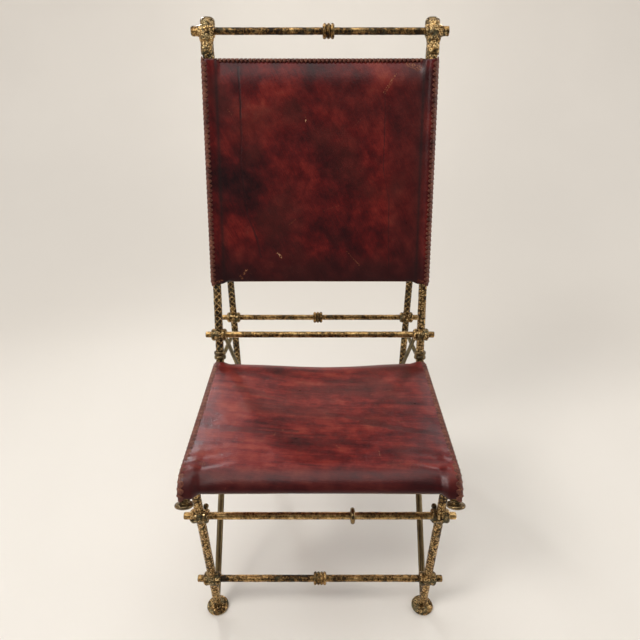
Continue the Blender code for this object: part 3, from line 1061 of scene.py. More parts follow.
@dataclass
class SeatRail:
    """A bent seat rail's centre line, from the knob over the front bend and up into the collar.

    Args:
        side: the chair's side.
        radius: the rod's radius.
        pitch, lean: how steeply the front end drops, and how far the rear end leans back.
        drop, depth, rise: how far the rail drops in front, runs back and rises behind.
        front_bend, rear_bend, bend_steps: the bends' radii, and the points round one.
        front_half_width, rear_half_width: its distance from the chair's middle at either end.
        front, points: its front end and its line, found from its solid.
    """

    side: Side
    radius: float = 0.0095
    pitch: float = math.radians(65.0)
    lean: float = math.radians(16.1)
    drop: float = 0.029
    depth: float = 0.404
    front_bend: float = 0.032
    rear_bend: float = 0.0125
    rise: float = 0.0179
    front_half_width: float = 0.245
    rear_half_width: float = 0.241
    bend_steps: int = 14
    front: Vector = field(init=False)
    points: list[tuple[Vector, float]] = field(init=False)

    def __post_init__(self) -> None:
        """Find the rail's front end from its solid's box."""
        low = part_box(self.side.node("seat_rail"))[0]
        y = low.y + self.radius * math.sin(self.pitch)
        z = low.z + self.radius * math.cos(self.pitch)
        self.front = Vector((self.side.value * self.front_half_width, y, z))
        self.points = self.line()

    def bend(self, start: Vector, pitch: float, turn: float, radius: float) -> list[tuple[Vector, float]]:
        """Points round a bend.

        Args:
            start: where it starts.
            pitch: the pitch there.
            turn: the angle it turns by.
            radius: its radius.

        Returns:
            Each point after the start, with its pitch.
        """
        sign = math.copysign(1.0, turn)
        centre = start + sign * radius * Vector((0.0, -math.sin(pitch), math.cos(pitch)))
        bent = []
        for i in range(1, self.bend_steps + 1):
            now = pitch + turn * i / self.bend_steps
            bent.append((centre - sign * radius * Vector((0.0, -math.sin(now), math.cos(now))), now))
        return bent

    def line(self) -> list[tuple[Vector, float]]:
        """The rail's line as seen from the side.

        Returns:
            Each point with its pitch, from front to rear.
        """
        start = Vector((0.0, self.front.y, self.front.z))
        rail_height = self.front.z + self.drop
        bend_fall = self.front_bend * (1.0 - math.cos(self.pitch))
        straight_run = (self.drop - bend_fall) / math.sin(self.pitch)
        run = Vector((0.0, math.cos(self.pitch), math.sin(self.pitch)))
        points = [(start, self.pitch), (start + run * straight_run, self.pitch)]
        points += self.bend(points[-1][0], self.pitch, -self.pitch, self.front_bend)
        rear_turn = math.pi / 2.0 - self.lean
        tangent = self.rear_bend * math.tan(rear_turn / 2.0)
        flat_end = Vector((0.0, self.front.y + self.depth - tangent, rail_height))
        points.append((flat_end, 0.0))
        points += self.bend(flat_end, 0.0, rear_turn, self.rear_bend)
        up = Vector((0.0, math.sin(self.lean), math.cos(self.lean)))
        last = points[-1][0] + (self.rise - tangent) * up
        points.append((last, rear_turn))
        return points

    def half_width(self, y: float) -> float:
        """The rail's distance from the chair's middle."""
        share = min(1.0, (y - self.front.y) / self.depth)
        return self.front_half_width + (self.rear_half_width - self.front_half_width) * share

    def at(self, distance: float) -> tuple[Vector, Vector, Vector]:
        """The rail at a distance along its line.

        Args:
            distance: metres from the front end, which may be outside the rail.

        Returns:
            The centre, the upper normal and the direction along.
        """
        points = self.points
        gone = 0.0
        for (here, pitch), (there, next_pitch) in zip(points, points[1:]):
            length = (there - here).length
            if distance <= gone + length or there == points[-1][0]:
                share = (distance - gone) / length
                now = pitch + (next_pitch - pitch) * min(1.0, max(0.0, share))
                centre = here.lerp(there, share)
                centre.x = self.side.value * self.half_width(centre.y)
                break
            gone += length
        normal = Vector((0.0, -math.sin(now), math.cos(now)))
        return centre, normal, Vector((0.0, math.cos(now), math.sin(now)))

    def length(self) -> float:
        """The whole length of the line."""
        return sum((b - a).length for (a, _), (b, _) in zip(self.points, self.points[1:]))


@dataclass
class SeatRails:
    """The two bent rails with their knobs and collars.

    Args:
        shop: the workshop that makes the pieces.
        sides, step: the sides of a rail, and the distance between its rings of points.
        dent, dent_spacing: the depth and spacing of the hammered dents.
        end_bevel: the rounding of a rail's ends.
        knob_gap: the gap between a knob and its rail.
        knob_radius, knob_length, neck_radius: a knob, and the neck under it.
        collar_length, collar_radius, collar_bore: a collar.
        collar_wall, collar_drop: the wall at its ends, and how far it sits below its solid.
    """

    shop: Workshop
    sides: int = 24
    step: float = 0.003
    dent: float = 0.0003
    dent_spacing: float = 0.013
    end_bevel: float = 0.001
    knob_gap: float = 0.0003
    knob_radius: float = 0.0172
    knob_length: float = 0.0175
    neck_radius: float = 0.0112
    collar_length: float = 0.020
    collar_radius: float = 0.0141
    collar_bore: float = 0.0096
    collar_wall: float = 0.0012
    collar_drop: float = 0.0015

    def knob(self, side: Side, rail: SeatRail) -> None:
        """A mushroom knob on a rail's front end.

        Args:
            side: the chair's side.
            rail: the rail it sits on.
        """
        centre, _, along = rail.at(0.0)
        gap, neck, wide, length = self.knob_gap, self.neck_radius, self.knob_radius, self.knob_length
        profile = rounded([
            (gap, 0.80 * neck), (2.0 * gap, neck), (0.17 * length, neck), (0.24 * length, 0.80 * neck),
            (0.40 * length, 0.74 * neck), (0.44 * length, 0.74 * wide), (0.52 * length, 0.98 * wide),
            (0.74 * length, 1.03 * wide), (0.88 * length, 0.84 * wide), (length, 0.42 * wide),
            (length, 0.10 * wide),
        ])
        node = side.node("rail_knob")
        bm = turned(profile, centre, -along)
        # The knob's patina is rubbed back further than the others', partly as a painted highlight.
        self.shop.piece("turned_" + node, bm, [DarkIron(rubbed=0.5)], Slot.DARK, [node])

    def collar(self, side: Side) -> None:
        """The two-bead collar where a post stands on its rail.

        Args:
            side: the chair's side.
        """
        node = side.node("seat_collar")
        lower, upper = self.shop.ends(side.node("back_post"))
        axis = (upper - lower).normalized()
        half, bore, wide = self.collar_length / 2.0, self.collar_bore, self.collar_radius
        lower_half = [
            (-half, bore + self.collar_wall), (-0.96 * half, 0.90 * wide), (-0.80 * half, wide),
            (-0.30 * half, wide), (-0.10 * half, 0.90 * wide), (-0.04 * half, 0.84 * wide),
        ]
        skin = rounded(lower_half + mirrored(lower_half))
        profile = [(-half, bore), *skin, (half, bore)]
        bm = turned(profile, self.shop.centre(node) - axis * self.collar_drop, axis, closed=True)
        self.shop.piece("turned_" + node, bm, [DarkIron(rubbed=0.45)], Slot.DARK, [node])

    def build(self) -> None:
        """Make both rails."""
        for side in Side:
            rail = SeatRail(side)
            count = round(rail.length() / self.step)
            frames = []
            for i in range(count + 1):
                centre, _, along = rail.at(rail.length() * i / count)
                frames.append(basis(centre, along, ACROSS))
            bm = sweep(frames, circle(rail.radius, self.sides), 2.0 * math.pi * rail.radius, self.end_bevel)
            hammer(bm, self.dent, self.dent_spacing)
            node = side.node("seat_rail")
            self.shop.piece("hammered_" + node, bm, [GiltIron(Chase.RINGS)], Slot.GILT, [node])
            self.knob(side, rail)
            self.collar(side)


@dataclass
class Fittings:
    """Bosses, heads, studs, bead collars, feet, caps and the loose ring.

    Args:
        shop: the workshop that makes the pieces.
        boss_length, boss_waist, boss_rim, rim_width: a spool boss, its barrel's radius and its ends.
        head_sleeve, sleeve: the radius of the sleeve on the top bar's end, and its profile in shares of it.
        stub_start, stub, stub_reach: where that sleeve narrows to its stub, the stub's radius and its end.
        neck, crown, neck_drop: the radii of the sleeve on a post's head, and how far down it runs.
        plug, plug_rise: the radius of the end above it, and how high it stands.
        stud_radius, stud_place, stud_steps: a stud, its place inside, behind and above its boss, its steps.
        dent, dent_spacing: the depth and spacing of the hammered dents.
        long_edge, segments: the longest edge left uncut for the dents, and the steps in a full turn.
        bar_bore: the bore of what is threaded on a bar.
        bead_wire, fine_bead_wire, bead_steps: the radius of coarse and fine beads, and the steps over one.
        bead_squeeze, bead_groove: how close the beads sit, and how deep the grooves stay.
        ring_wire, ring_play, ring_steps: the loose ring's wire, its play on the bar, and its steps.
        foot_radius, foot_height: a foot disc.
        cap_radius, cap_height, cap_skirt: a rear leg's cap, and how far its skirt runs down.
        crossings: the bars that end in spool bosses.
    """

    shop: Workshop
    boss_length: float = 0.036
    boss_waist: float = 0.0146
    boss_rim: float = 0.0146
    rim_width: float = 0.0095
    head_sleeve: float = 0.0118
    sleeve: tuple[tuple[float, float], ...] = (
        (-0.0180, 0.60), (-0.0180, 0.90), (-0.0165, 1.06), (-0.0110, 1.06), (0.0, 1.30), (0.0130, 1.10))
    stub_start: float = 0.0190
    stub: float = 0.0096
    stub_reach: float = 0.0315
    neck: float = 0.0128
    crown: float = 0.0160
    neck_drop: float = 0.047
    plug: float = 0.0112
    plug_rise: float = 0.0205
    stud_radius: float = 0.0056
    stud_place: tuple[float, float, float] = (0.0110, 0.0120, 0.0140)
    stud_steps: int = 14
    dent: float = 0.0010
    dent_spacing: float = 0.0066
    long_edge: float = 0.003
    segments: int = 44
    bar_bore: float = 0.0069
    bead_wire: float = 0.0042
    fine_bead_wire: float = 0.0034
    bead_steps: int = 10
    bead_squeeze: float = 0.985
    bead_groove: float = 0.16
    ring_wire: float = 0.0045
    ring_play: float = 0.0004
    ring_steps: int = 16
    foot_radius: float = 0.0235
    foot_height: float = 0.009
    cap_radius: float = 0.0160
    cap_height: float = 0.010
    cap_skirt: float = 0.030
    crossings: tuple[str, ...] = ("lumbar", "rear", "upper_front", "lower_front")

    def spun(self, name: str, bm: bmesh.types.BMesh, dents: float, finish: GiltIron,
             replaces: Iterable[str] = ()) -> None:
        """Beat a turned mesh, by a share of the full dents, and make it a piece."""
        hammer(bm, dents * self.dent, self.dent_spacing)
        self.shop.piece("spun_" + name, bm, [finish], Slot.GILT, replaces)

    def boss(self, node: str) -> None:
        """A spool boss: a lumpy barrel between two rounded ends.

        Args:
            node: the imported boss.
        """
        half, wide, rim = self.boss_length / 2.0, self.rim_width, self.boss_rim
        right = [
            (0.30 * (half - wide), self.boss_waist), (0.9 * (half - wide), 0.93 * self.boss_waist),
            (half - 0.90 * wide, 0.96 * rim), (half - 0.60 * wide, rim), (half - 0.30 * wide, 0.94 * rim),
            (half - 0.06 * wide, 0.80 * rim), (half, 0.66 * rim), (half, 0.40 * rim),
        ]
        profile = rounded(mirrored(right) + right)
        bm = turned(profile, self.shop.centre(node), ACROSS, segments=self.segments)
        self.spun(node, bm, 1.0, KNOTTED_GILT, [node])

    def head(self, side: Side) -> None:
        """A post's head: a knotted sleeve up the post, crossed by a sleeve on the bar's end.

        Args:
            side: the chair's side.
        """
        node = side.node("top_boss")
        centre = self.shop.centre(node)
        lower, upper = self.shop.ends(side.node("back_post"))
        reach, stub = self.stub_reach, self.stub
        crossing = rounded([
            *((along, swell * self.head_sleeve) for along, swell in self.sleeve),
            (self.stub_start, stub), (0.85 * reach, stub), (0.98 * reach, 1.04 * stub),
            (reach, 0.85 * stub), (reach, 0.40 * stub),
        ])
        bm = turned(crossing, centre, ACROSS * side.value, segments=self.segments)
        self.spun(node, bm, 1.0, KNOTTED_GILT, [node])
        drop, neck, crown = self.neck_drop, self.neck, self.crown
        knot = rounded([
            (-drop, 0.70 * neck), (-drop, 0.95 * neck), (-0.92 * drop, 1.03 * neck), (-0.66 * drop, neck),
            (-0.50 * drop, 0.98 * neck), (-0.40 * drop, 0.92 * crown), (-0.20 * drop, 1.02 * crown),
            (0.08 * drop, crown), (0.17 * drop, 0.86 * crown), (0.24 * drop, self.plug),
            (self.plug_rise, self.plug), (self.plug_rise, 0.40 * self.plug),
        ])
        bm = turned(knot, centre, upper - lower, segments=self.segments)
        long_edges = [edge for edge in bm.edges if edge.calc_length() > self.long_edge]
        bmesh.ops.subdivide_edges(bm, edges=long_edges, cuts=2)
        self.spun(side.node("head_sleeve"), bm, 1.2, KNOTTED_GILT)

    def stud(self, side: Side) -> None:
        """The small dark stud behind an upper front boss.

        Args:
            side: the chair's side.
        """
        inward, back, up = self.stud_place
        seat = self.shop.centre(side.node("upper_front_boss")) + Vector((-side.value * inward, back, up))
        turns = [math.pi * i / self.stud_steps for i in range(1, self.stud_steps)]
        ball = [(self.stud_radius * -math.cos(turn), self.stud_radius * math.sin(turn)) for turn in turns]
        bm = turned(ball, seat, UPWARD, segments=24)
        self.shop.piece(side.node("boss_stud"), bm, [DarkIron(rubbed=0.4)], Slot.DARK)

    def beads(self, node: str, count: int, wire: float) -> None:
        """A collar of round beads in a row on a bar.

        Args:
            node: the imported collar.
            count: how many beads.
            wire: a bead's radius.
        """
        skin = []
        for bead in range(count):
            centre = (2.0 * bead - count + 1.0) * wire
            for i in range(self.bead_steps + 1):
                turn = math.pi * (1.0 - i / self.bead_steps)
                reach = max(self.bead_groove, math.sin(turn))
                along = centre + self.bead_squeeze * wire * math.cos(turn)
                skin.append((along, self.bar_bore + wire + wire * reach))
        half = count * wire
        profile = [(-half, self.bar_bore), *skin, (half, self.bar_bore)]
        bm = turned(profile, self.shop.centre(node), ACROSS, closed=True)
        self.spun(node, bm, 0.20, BEAD_GILT, [node])

    def loose_ring(self) -> None:
        """The ring that slides on the upper front bar."""
        middle = self.bar_bore + self.ring_play + self.ring_wire
        profile = [(along, middle + out) for along, out in circle(self.ring_wire, self.ring_steps)]
        bm = turned(profile, self.shop.centre("loose_ring"), ACROSS, closed=True)
        self.shop.piece("spun_loose_ring", bm, [DarkIron(rubbed=0.6)], Slot.DARK, ["loose_ring"], Body.RING)

    def foot(self, node: str) -> None:
        """A domed foot disc with a rolled edge.

        Args:
            node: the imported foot.
        """
        centre = self.shop.centre(node)
        wide, tall = self.foot_radius, self.foot_height
        profile = rounded([
            (0.0, 0.40 * wide), (0.0, 0.93 * wide), (0.14 * tall, wide), (0.50 * tall, 1.02 * wide),
            (0.78 * tall, 0.92 * wide), (0.90 * tall, 0.70 * wide), (tall, 0.44 * wide), (tall, 0.20 * wide),
        ])
        bm = turned(profile, Vector((centre.x, centre.y, 0.0)), UPWARD, segments=56)
        hammer(bm, 0.4 * self.dent, self.dent_spacing)
        for vert in bm.verts:
            vert.co.z = max(0.0, vert.co.z)
        self.shop.piece("spun_" + node, bm, [FOOT_GILT], Slot.GILT, [node])

    def cap(self, side: Side) -> None:
        """The dome on a rear leg's upper end.

        Args:
            side: the chair's side.
        """
        lower, upper = self.shop.ends(side.node("rear_leg"))
        wide, tall, skirt = self.cap_radius, self.cap_height, self.cap_skirt
        profile = rounded([
            (-skirt, 0.50 * wide), (-skirt, 0.80 * wide), (-0.92 * skirt, 0.90 * wide),
            (-0.45 * skirt, 0.96 * wide), (-0.05 * skirt, wide), (0.30 * tall, 0.96 * wide),
            (0.68 * tall, 0.80 * wide), (0.96 * tall, 0.46 * wide), (tall, 0.10 * wide),
        ])
        node = side.node("rear_cap")
        bm = turned(profile, upper, upper - lower)
        self.shop.piece("turned_" + node, bm, [DarkIron(rubbed=0.7)], Slot.DARK, [node])

    def build(self) -> None:
        """Make every fitting."""
        for side in Side:
            self.head(side)
            self.stud(side)
            for crossing in self.crossings:
                self.boss(side.node(crossing + "_boss"))
            self.foot(side.node("front_foot"))
            self.foot(side.node("rear_foot"))
            self.cap(side)
        self.beads("top_bead_collar", 3, self.bead_wire)
        self.beads("rear_bead_collar", 3, self.bead_wire)
        self.beads("lower_front_bead_collar", 4, self.fine_bead_wire)
        self.loose_ring()


@dataclass
class Braces:
    """The braces, which keep their solids.

    Args:
        shop: the workshop that dresses them.
        looks: each brace with its lift and share of blue.
        end_slack: how much of a slanting end counts as its end.
    """

    shop: Workshop
    looks: tuple[tuple[str, float, float], ...] = (
        ("foot_brace", -0.26, 1.0),
        ("corner_brace", -0.34, 0.40),
        ("back_brace", -0.34, 0.40),
    )
    end_slack: float = 0.01

    def build(self) -> None:
        """Dress every brace with a finish drawn along it."""
        for name, lift, blue in self.looks:
            start, end = self.shop.ends(Side.RIGHT.node(name), self.end_slack)
            tilt = -math.atan2(end.z - start.z, end.y - start.y)
            finish = DrawnIron(name, tilt, lift, blue)
            for side in Side:
                self.shop.dress(side.node(name), finish)


@dataclass
class Sling:
    """A laced leather sling: two sheets that part round a rod at either side.

    Args:
        shop: the workshop that makes its pieces.
        name: which sling it is.
        leather: the finish of its sheets.
        columns, rows: the grid of a sheet.
        rod_radius, ease, thickness: the rod, the slack round it and the leather.
        valley, edge_ease: how far the span lies below the pockets, and how its hollow runs out.
        leave, leave_turn: the outer span's end, in pocket radii from the rod, and the turn it goes on at.
        inner_leave, inner_turn: the same for the inner sheet.
        span_points, pocket_points: a section's points in its span and round its pocket.
        pocket_start: where a pocket begins, in pocket radii from the rod.
        lip, lip_split, seam_split: how far the laced edges stand out, and how they part.
        sheet_gap: the distance between the sheets.
        hem_roll, hem_length: how far the hems roll under, and over what length.
        seam, seam_inset: the laced edge's turn round the rod, and the lace's inset there.
        lace_width, lace_thickness, lace_sides, lace_repeats: the strip, its outline and its map.
        lace_pitch, stitch_steps: the distance between stitches, and the steps in one.
        lace_turn, lace_near, lace_far: the winding's half sizes, and the shares kept inside and behind.
        lace_tip: the share of the strip's width kept where it turns.
        pocket_shade, hem_shade: the strength of the painted shade in the valleys beside the pockets and on
            curled hems.
        seam_line, seam_halo, halo_share: where that painted shade lies beside a pocket, in pocket radii from
            the rod.
        wave_sizes: the heights and scales of the leather's waves.
    """

    shop: Workshop
    name: str
    leather: WornLeather
    columns: int = 200
    rows: int = 150
    rod_radius: float = 0.0095
    ease: float = 0.0026
    thickness: float = 0.0018
    valley: float = 0.0052
    edge_ease: float = 1.0
    leave: float = 2.0
    leave_turn: float = math.radians(130.0)
    inner_leave: float = 3.2
    inner_turn: float = math.radians(-116.0)
    span_points: int = 24
    pocket_points: int = 15
    pocket_start: float = 2.2
    lip: float = 0.0012
    lip_split: float = 0.0007
    seam_split: float = 0.08
    sheet_gap: float = 0.0036
    hem_roll: float = 0.0030
    hem_length: float = 0.0055
    seam: float = math.radians(42.0)
    seam_inset: float = 0.0016
    lace_width: float = 0.0108
    lace_thickness: float = 0.0016
    lace_sides: int = 8
    lace_repeats: float = 2.0
    lace_pitch: float = 0.0105
    stitch_steps: int = 14
    lace_turn: tuple[float, float] = (0.0036, 0.0094)
    lace_near: float = 0.12
    lace_far: float = 0.62
    lace_tip: float = 0.55
    pocket_shade: float = 0.55
    hem_shade: float = 0.15
    seam_line: tuple[float, float] = (1.5, 0.28)
    seam_halo: tuple[float, float] = (1.9, 0.9)
    halo_share: float = 0.4
    wave_sizes: tuple[tuple[float, float], ...] = ((0.0008, 9.0), (0.0005, 24.0))

    def rod_at(self, distance: float) -> tuple[Vector, Vector, Vector]:
        """The right rod's centre, outer normal and direction at a distance from the lower edge."""
        raise NotImplementedError

    def length(self) -> float:
        """The sling's length along its rods."""
        raise NotImplementedError

    def dish(self, share: float) -> float:
        """How deep the sheet sags in the middle, at a share of the length."""
        raise NotImplementedError

    def overhang(self, share: float) -> float:
        """How much further a pocket runs than the sheet, at a share of the length."""
        raise NotImplementedError

    def wrinkle(self, x: float, distance: float) -> float:
        """How far the leather stands proud at a point."""
        raise NotImplementedError

    def fall(self, share: float) -> float:
        """How far the whole sheet falls away near an end, at a share of the length."""
        raise NotImplementedError

    def rod_name(self, side: Side) -> str:
        """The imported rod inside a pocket."""
        raise NotImplementedError

    @property
    def pocket_radius(self) -> float:
        """The outer radius of the leather round a rod."""
        return self.rod_radius + self.ease

    def waves(self, place: Vector) -> float:
        """Slow waves with finer ones on them."""
        return sum(height * noise.noise(place * scale) for height, scale in self.wave_sizes)

    def seam_shade(self, inside: float, curl: float) -> float:
        """The painted shade in the valley beside a pocket, by pocket radii inside the rod, and on a hem by
        its curl.
        """
        seam = bell(inside, *self.seam_line) + self.halo_share * bell(inside, *self.seam_halo)
        return min(1.0, self.pocket_shade * seam + self.hem_shade * curl)

    def section(self, half_width: float, dish: float,
                layer: Layer) -> tuple[np.ndarray, np.ndarray, np.ndarray]:
        """Half a cross-section, from the middle to the laced edge.

        Args:
            half_width: the rod's distance from the middle.
            dish: the sag in the middle.
            layer: the outer or inner sheet.

        Returns:
            Distance along the half, place across, and place along the normal.
        """
        radius = self.pocket_radius
        outer = layer is Layer.OUTER
        reach = half_width - (self.leave if outer else self.inner_leave) * radius
        drop = 0.0 if outer else self.sheet_gap
        points = []
        for i in range(self.span_points):
            x = reach * i / (self.span_points - 1)
            hollow = dish * (1.0 - (x / reach) ** 2) ** self.edge_ease
            points.append((x, radius - self.valley - drop - hollow))
        start = self.leave_turn if outer else self.inner_turn
        stop = self.seam + layer.value * self.seam_split
        for i in range(self.pocket_points):
            turn = start + (stop - start) * i / (self.pocket_points - 1)
            points.append((half_width + radius * math.cos(turn), radius * math.sin(turn)))
        edge = radius + self.lip
        part = self.lip_split * layer.value
        points.append((half_width + edge * math.cos(self.seam), edge * math.sin(self.seam) + part))
        curve = np.array(rounded(points, 3))
        steps = np.linalg.norm(np.diff(curve, axis=0), axis=1)
        return np.concatenate(([0.0], np.cumsum(steps))), curve[:, 0], curve[:, 1]

    def sheet(self, layer: Layer) -> tuple[bmesh.types.BMesh, tuple[float, float]]:
        """One sheet of the sling.

        Args:
            layer: the outer or inner sheet.

        Returns:
            The mesh, and the flat size it was cut to.
        """
        bm = bmesh.new()
        bmesh.ops.create_grid(bm, x_segments=self.columns, y_segments=self.rows, size=0.5)
        shades = bm.verts.layers.float.new(SHADE_LAYER)
        mapped = bm.loops.layers.uv.new(PANEL_MAP)
        flat: dict[int, tuple[float, float]] = {}
        sections: dict[float, tuple] = {}
        length = self.length()
        widths = []
        for vert in bm.verts:
            across = 2.0 * vert.co.x
            share = round(vert.co.y + 0.5, 5)
            if share not in sections:
                centre = self.rod_at(share * length)[0]
                sections[share] = (centre.x, *self.section(centre.x, self.dish(share), layer))
                widths.append(2.0 * sections[share][1][-1])
            half_width, runs, xs, heights = sections[share]
            run = abs(across) * runs[-1]
            x = float(np.interp(run, runs, xs))
            height = float(np.interp(run, runs, heights))
            inside = (half_width - x) / self.pocket_radius
            pocket = min(1.0, max(0.0, self.pocket_start - inside))
            distance = share * length + pocket * self.overhang(share)
            end = min(share, 1.0 - share) * length
            curl = max(0.0, 1.0 - end / self.hem_length)
            height -= layer.value * (1.0 - pocket) * self.hem_roll * (1.0 - math.sqrt(1.0 - curl * curl))
            height -= (1.0 - pocket) * self.fall(share)
            height += self.wrinkle(math.copysign(x, across), distance)
            centre, normal, _ = self.rod_at(distance)
            vert.co = Vector((math.copysign(x, across), centre.y, centre.z)) + normal * height
            flat[vert.index] = (math.copysign(run, across), distance)
            # Painted shade for the valleys beside the pockets and the curled hems, kept on each point.
            vert[shades] = self.seam_shade(inside, curl)
        for face in bm.faces:
            for loop in face.loops:
                loop[mapped].uv = flat[loop.vert.index]
        bmesh.ops.recalc_face_normals(bm, faces=bm.faces)
        middle = min(bm.faces, key=lambda face: face.calc_center_median().xz.length)
        facing = self.rod_at(0.5 * length)[1]
        if middle.normal.dot(facing) * layer.value < 0.0:
            bmesh.ops.reverse_faces(bm, faces=bm.faces)
        return bm, (sum(widths) / len(widths), length)

    def lace(self, places: list[tuple[Vector, Vector, Vector]], pitch: float, turn: tuple[float, float],
             width: float) -> bmesh.types.BMesh:
        """A strip of lace wound round an edge.

        Args:
            places: points along the edge, each with its outward direction and its normal.
            pitch: the distance between stitches.
            turn: the winding's half width and half depth.
            width: the strip's width.

        Returns:
            The lace's mesh.
        """
        path = []
        run = 0.0
        for index, (point, outward, normal) in enumerate(places):
            if index:
                run += (point - places[index - 1][0]).length
            wind = 2.0 * math.pi * run / pitch
            over, aside = math.cos(wind), math.sin(wind)
            reach = turn[0] * over * (1.0 if over > 0.0 else self.lace_near)
            depth = turn[1] * aside * (1.0 if aside > 0.0 else self.lace_far)
            path.append((point + outward * reach + normal * depth, point, abs(over)))
        frames = []
        for index, (point, edge, over) in enumerate(path):
            before, after = path[max(0, index - 1)][0], path[min(len(path) - 1, index + 1)][0]
            narrowed = Matrix.Diagonal((1.0, self.lace_tip + (1.0 - self.lace_tip) * over, 1.0, 1.0))
            frames.append(basis(point, after - before, point - edge) @ narrowed)
        thick = self.lace_thickness / 2.0
        outline = [(thick * x, 0.5 * width * y) for x, y in circle(1.0, self.lace_sides)]
        return sweep(frames, outline, self.lace_repeats)

    def side_lace(self, side: Side) -> bmesh.types.BMesh:
        """The whip lacing down one edge.

        Args:
            side: the chair's side.

        Returns:
            The lace's mesh.
        """
        length = self.length()
        start = self.overhang(0.0)
        stop = length + self.overhang(1.0)
        count = round((stop - start) / self.lace_pitch * self.stitch_steps)
        places = []
        for i in range(count + 1):
            centre, normal, _ = self.rod_at(start + (stop - start) * i / count)
            outward = ACROSS * side.value * math.cos(self.seam) + normal * math.sin(self.seam)
            forward = normal * math.cos(self.seam) - ACROSS * side.value * math.sin(self.seam)
            middle = Vector((side.value * centre.x, centre.y, centre.z))
            places.append((middle + outward * (self.pocket_radius - self.seam_inset), outward, forward))
        return self.lace(places, self.lace_pitch, self.lace_turn, self.lace_width)

    def build(self) -> None:
        """Make both sheets and the side lacing."""
        rods = [self.rod_name(side) for side in Side]
        for layer in Layer:
            bm, flat = self.sheet(layer)
            finishes = [self.leather, CutEdge()]
            node = [f"{self.name}_leather"] if layer is Layer.OUTER else []
            name = f"{self.name}_{layer.name.lower()}_sheet"
            made = self.shop.piece(name, bm, finishes, Slot.LEATHER, node, sharp=180.0)
            thicken = made.modifiers.new("thickness", "SOLIDIFY")
            thicken.thickness = self.thickness
            thicken.offset = -1.0
            thicken.material_offset_rim = 1
        for side in Side:
            node = side.node(f"{self.name}_lace")
            self.shop.piece("whip_" + node, self.side_lace(side), [LaceLeather()], Slot.LACE, [node])


@dataclass
class BackSling(Sling):
    """The back, hung between the two posts.

    Args:
        lean: how far the posts lean back.
        solid_radius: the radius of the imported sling's pockets.
        edge_dish, middle_dish: the hollow at the ends and half way up.
        pocket_drop, drop_power: how far the pockets hang below the hem, and how soon that runs out.
        lower_lift, upper_lift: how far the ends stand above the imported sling's ends.
        top_fall, top_fall_share: how far the top edge leans back, and over what share of the length.
        top_pitch, top_turn, top_lace_width, top_steps: the top lacing's stitches, as at the sides.
        top_inset, top_margin: its distance from the edge, and from the posts in pocket radii.
        lower, upper: the sling's ends on the right post.
    """

    lean: float = math.radians(16.1)
    solid_radius: float = 0.0118
    edge_dish: float = 0.0025
    middle_dish: float = 0.0065
    pocket_drop: float = 0.005
    drop_power: int = 8
    lower_lift: float = 0.008
    upper_lift: float = 0.002
    top_fall: float = 0.0125
    top_fall_share: float = 0.115
    top_pitch: float = 0.0092
    top_turn: tuple[float, float] = (0.0054, 0.0068)
    top_lace_width: float = 0.0088
    top_steps: int = 12
    top_inset: float = 0.0012
    top_margin: float = 1.3
    lower: Vector = field(init=False)
    upper: Vector = field(init=False)

    def __post_init__(self) -> None:
        """Find the sling's ends on the right post."""
        low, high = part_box("back_leather")
        start, end = self.shop.ends(Side.RIGHT.node("back_post"))
        tip = self.solid_radius * math.sin(self.lean)
        slope = (end - start) / (end.z - start.z)
        self.lower = start + slope * (low.z + tip + self.lower_lift - start.z)
        self.upper = start + slope * (high.z - tip + self.upper_lift - start.z)

    def rod_name(self, side: Side) -> str:
        """The post inside a pocket."""
        return side.node("back_post")

    def length(self) -> float:
        """The distance between the sling's ends."""
        return (self.upper - self.lower).length

    def rod_at(self, distance: float) -> tuple[Vector, Vector, Vector]:
        """The right post along the sling.

        Args:
            distance: metres up the post from the sling's lower edge.

        Returns:
            Its centre, outer normal and direction.
        """
        along = (self.upper - self.lower).normalized()
        normal = Vector((0.0, -math.cos(self.lean), math.sin(self.lean)))
        return self.lower + along * distance, normal, along

    def dish(self, share: float) -> float:
        """A shallow hollow, deepest half way up."""
        return self.edge_dish + (self.middle_dish - self.edge_dish) * math.sin(math.pi * share)

    def overhang(self, share: float) -> float:
        """The pockets hang a little below the hem."""
        return -self.pocket_drop * (1.0 - share) ** self.drop_power

    def wrinkle(self, x: float, distance: float) -> float:
        """Slow waves."""
        return self.waves(Vector((x, distance, 0.0)))

    def fall(self, share: float) -> float:
        """The top edge leans back."""
        return self.top_fall * max(0.0, (share - 1.0) / self.top_fall_share + 1.0) ** 2

    def top_lace(self) -> bmesh.types.BMesh:
        """The finer lacing along the top edge.

        Returns:
            The lace's mesh.
        """
        centre, normal, along = self.rod_at(self.length() - self.top_inset)
        inner = centre.x - self.top_margin * self.pocket_radius
        count = round(2.0 * inner / self.top_pitch * self.top_steps)
        _, xs, heights = self.section(centre.x, self.dish(1.0), Layer.OUTER)
        span = len(xs) // 2
        places = []
        for i in range(count + 1):
            x = inner * (2.0 * i / count - 1.0)
            height = float(np.interp(abs(x), xs[:span], heights[:span])) - self.sheet_gap / 2.0
            height -= self.fall(1.0)
            point = Vector((x, centre.y, centre.z)) + normal * height
            places.append((point, along, normal))
        return self.lace(places, self.top_pitch, self.top_turn, self.top_lace_width)

    def build(self) -> None:
        """Make the sheets, the side lacing and the top lacing."""
        super().build()
        self.shop.piece("whip_back_top_lace", self.top_lace(), [LaceLeather()], Slot.LACE)


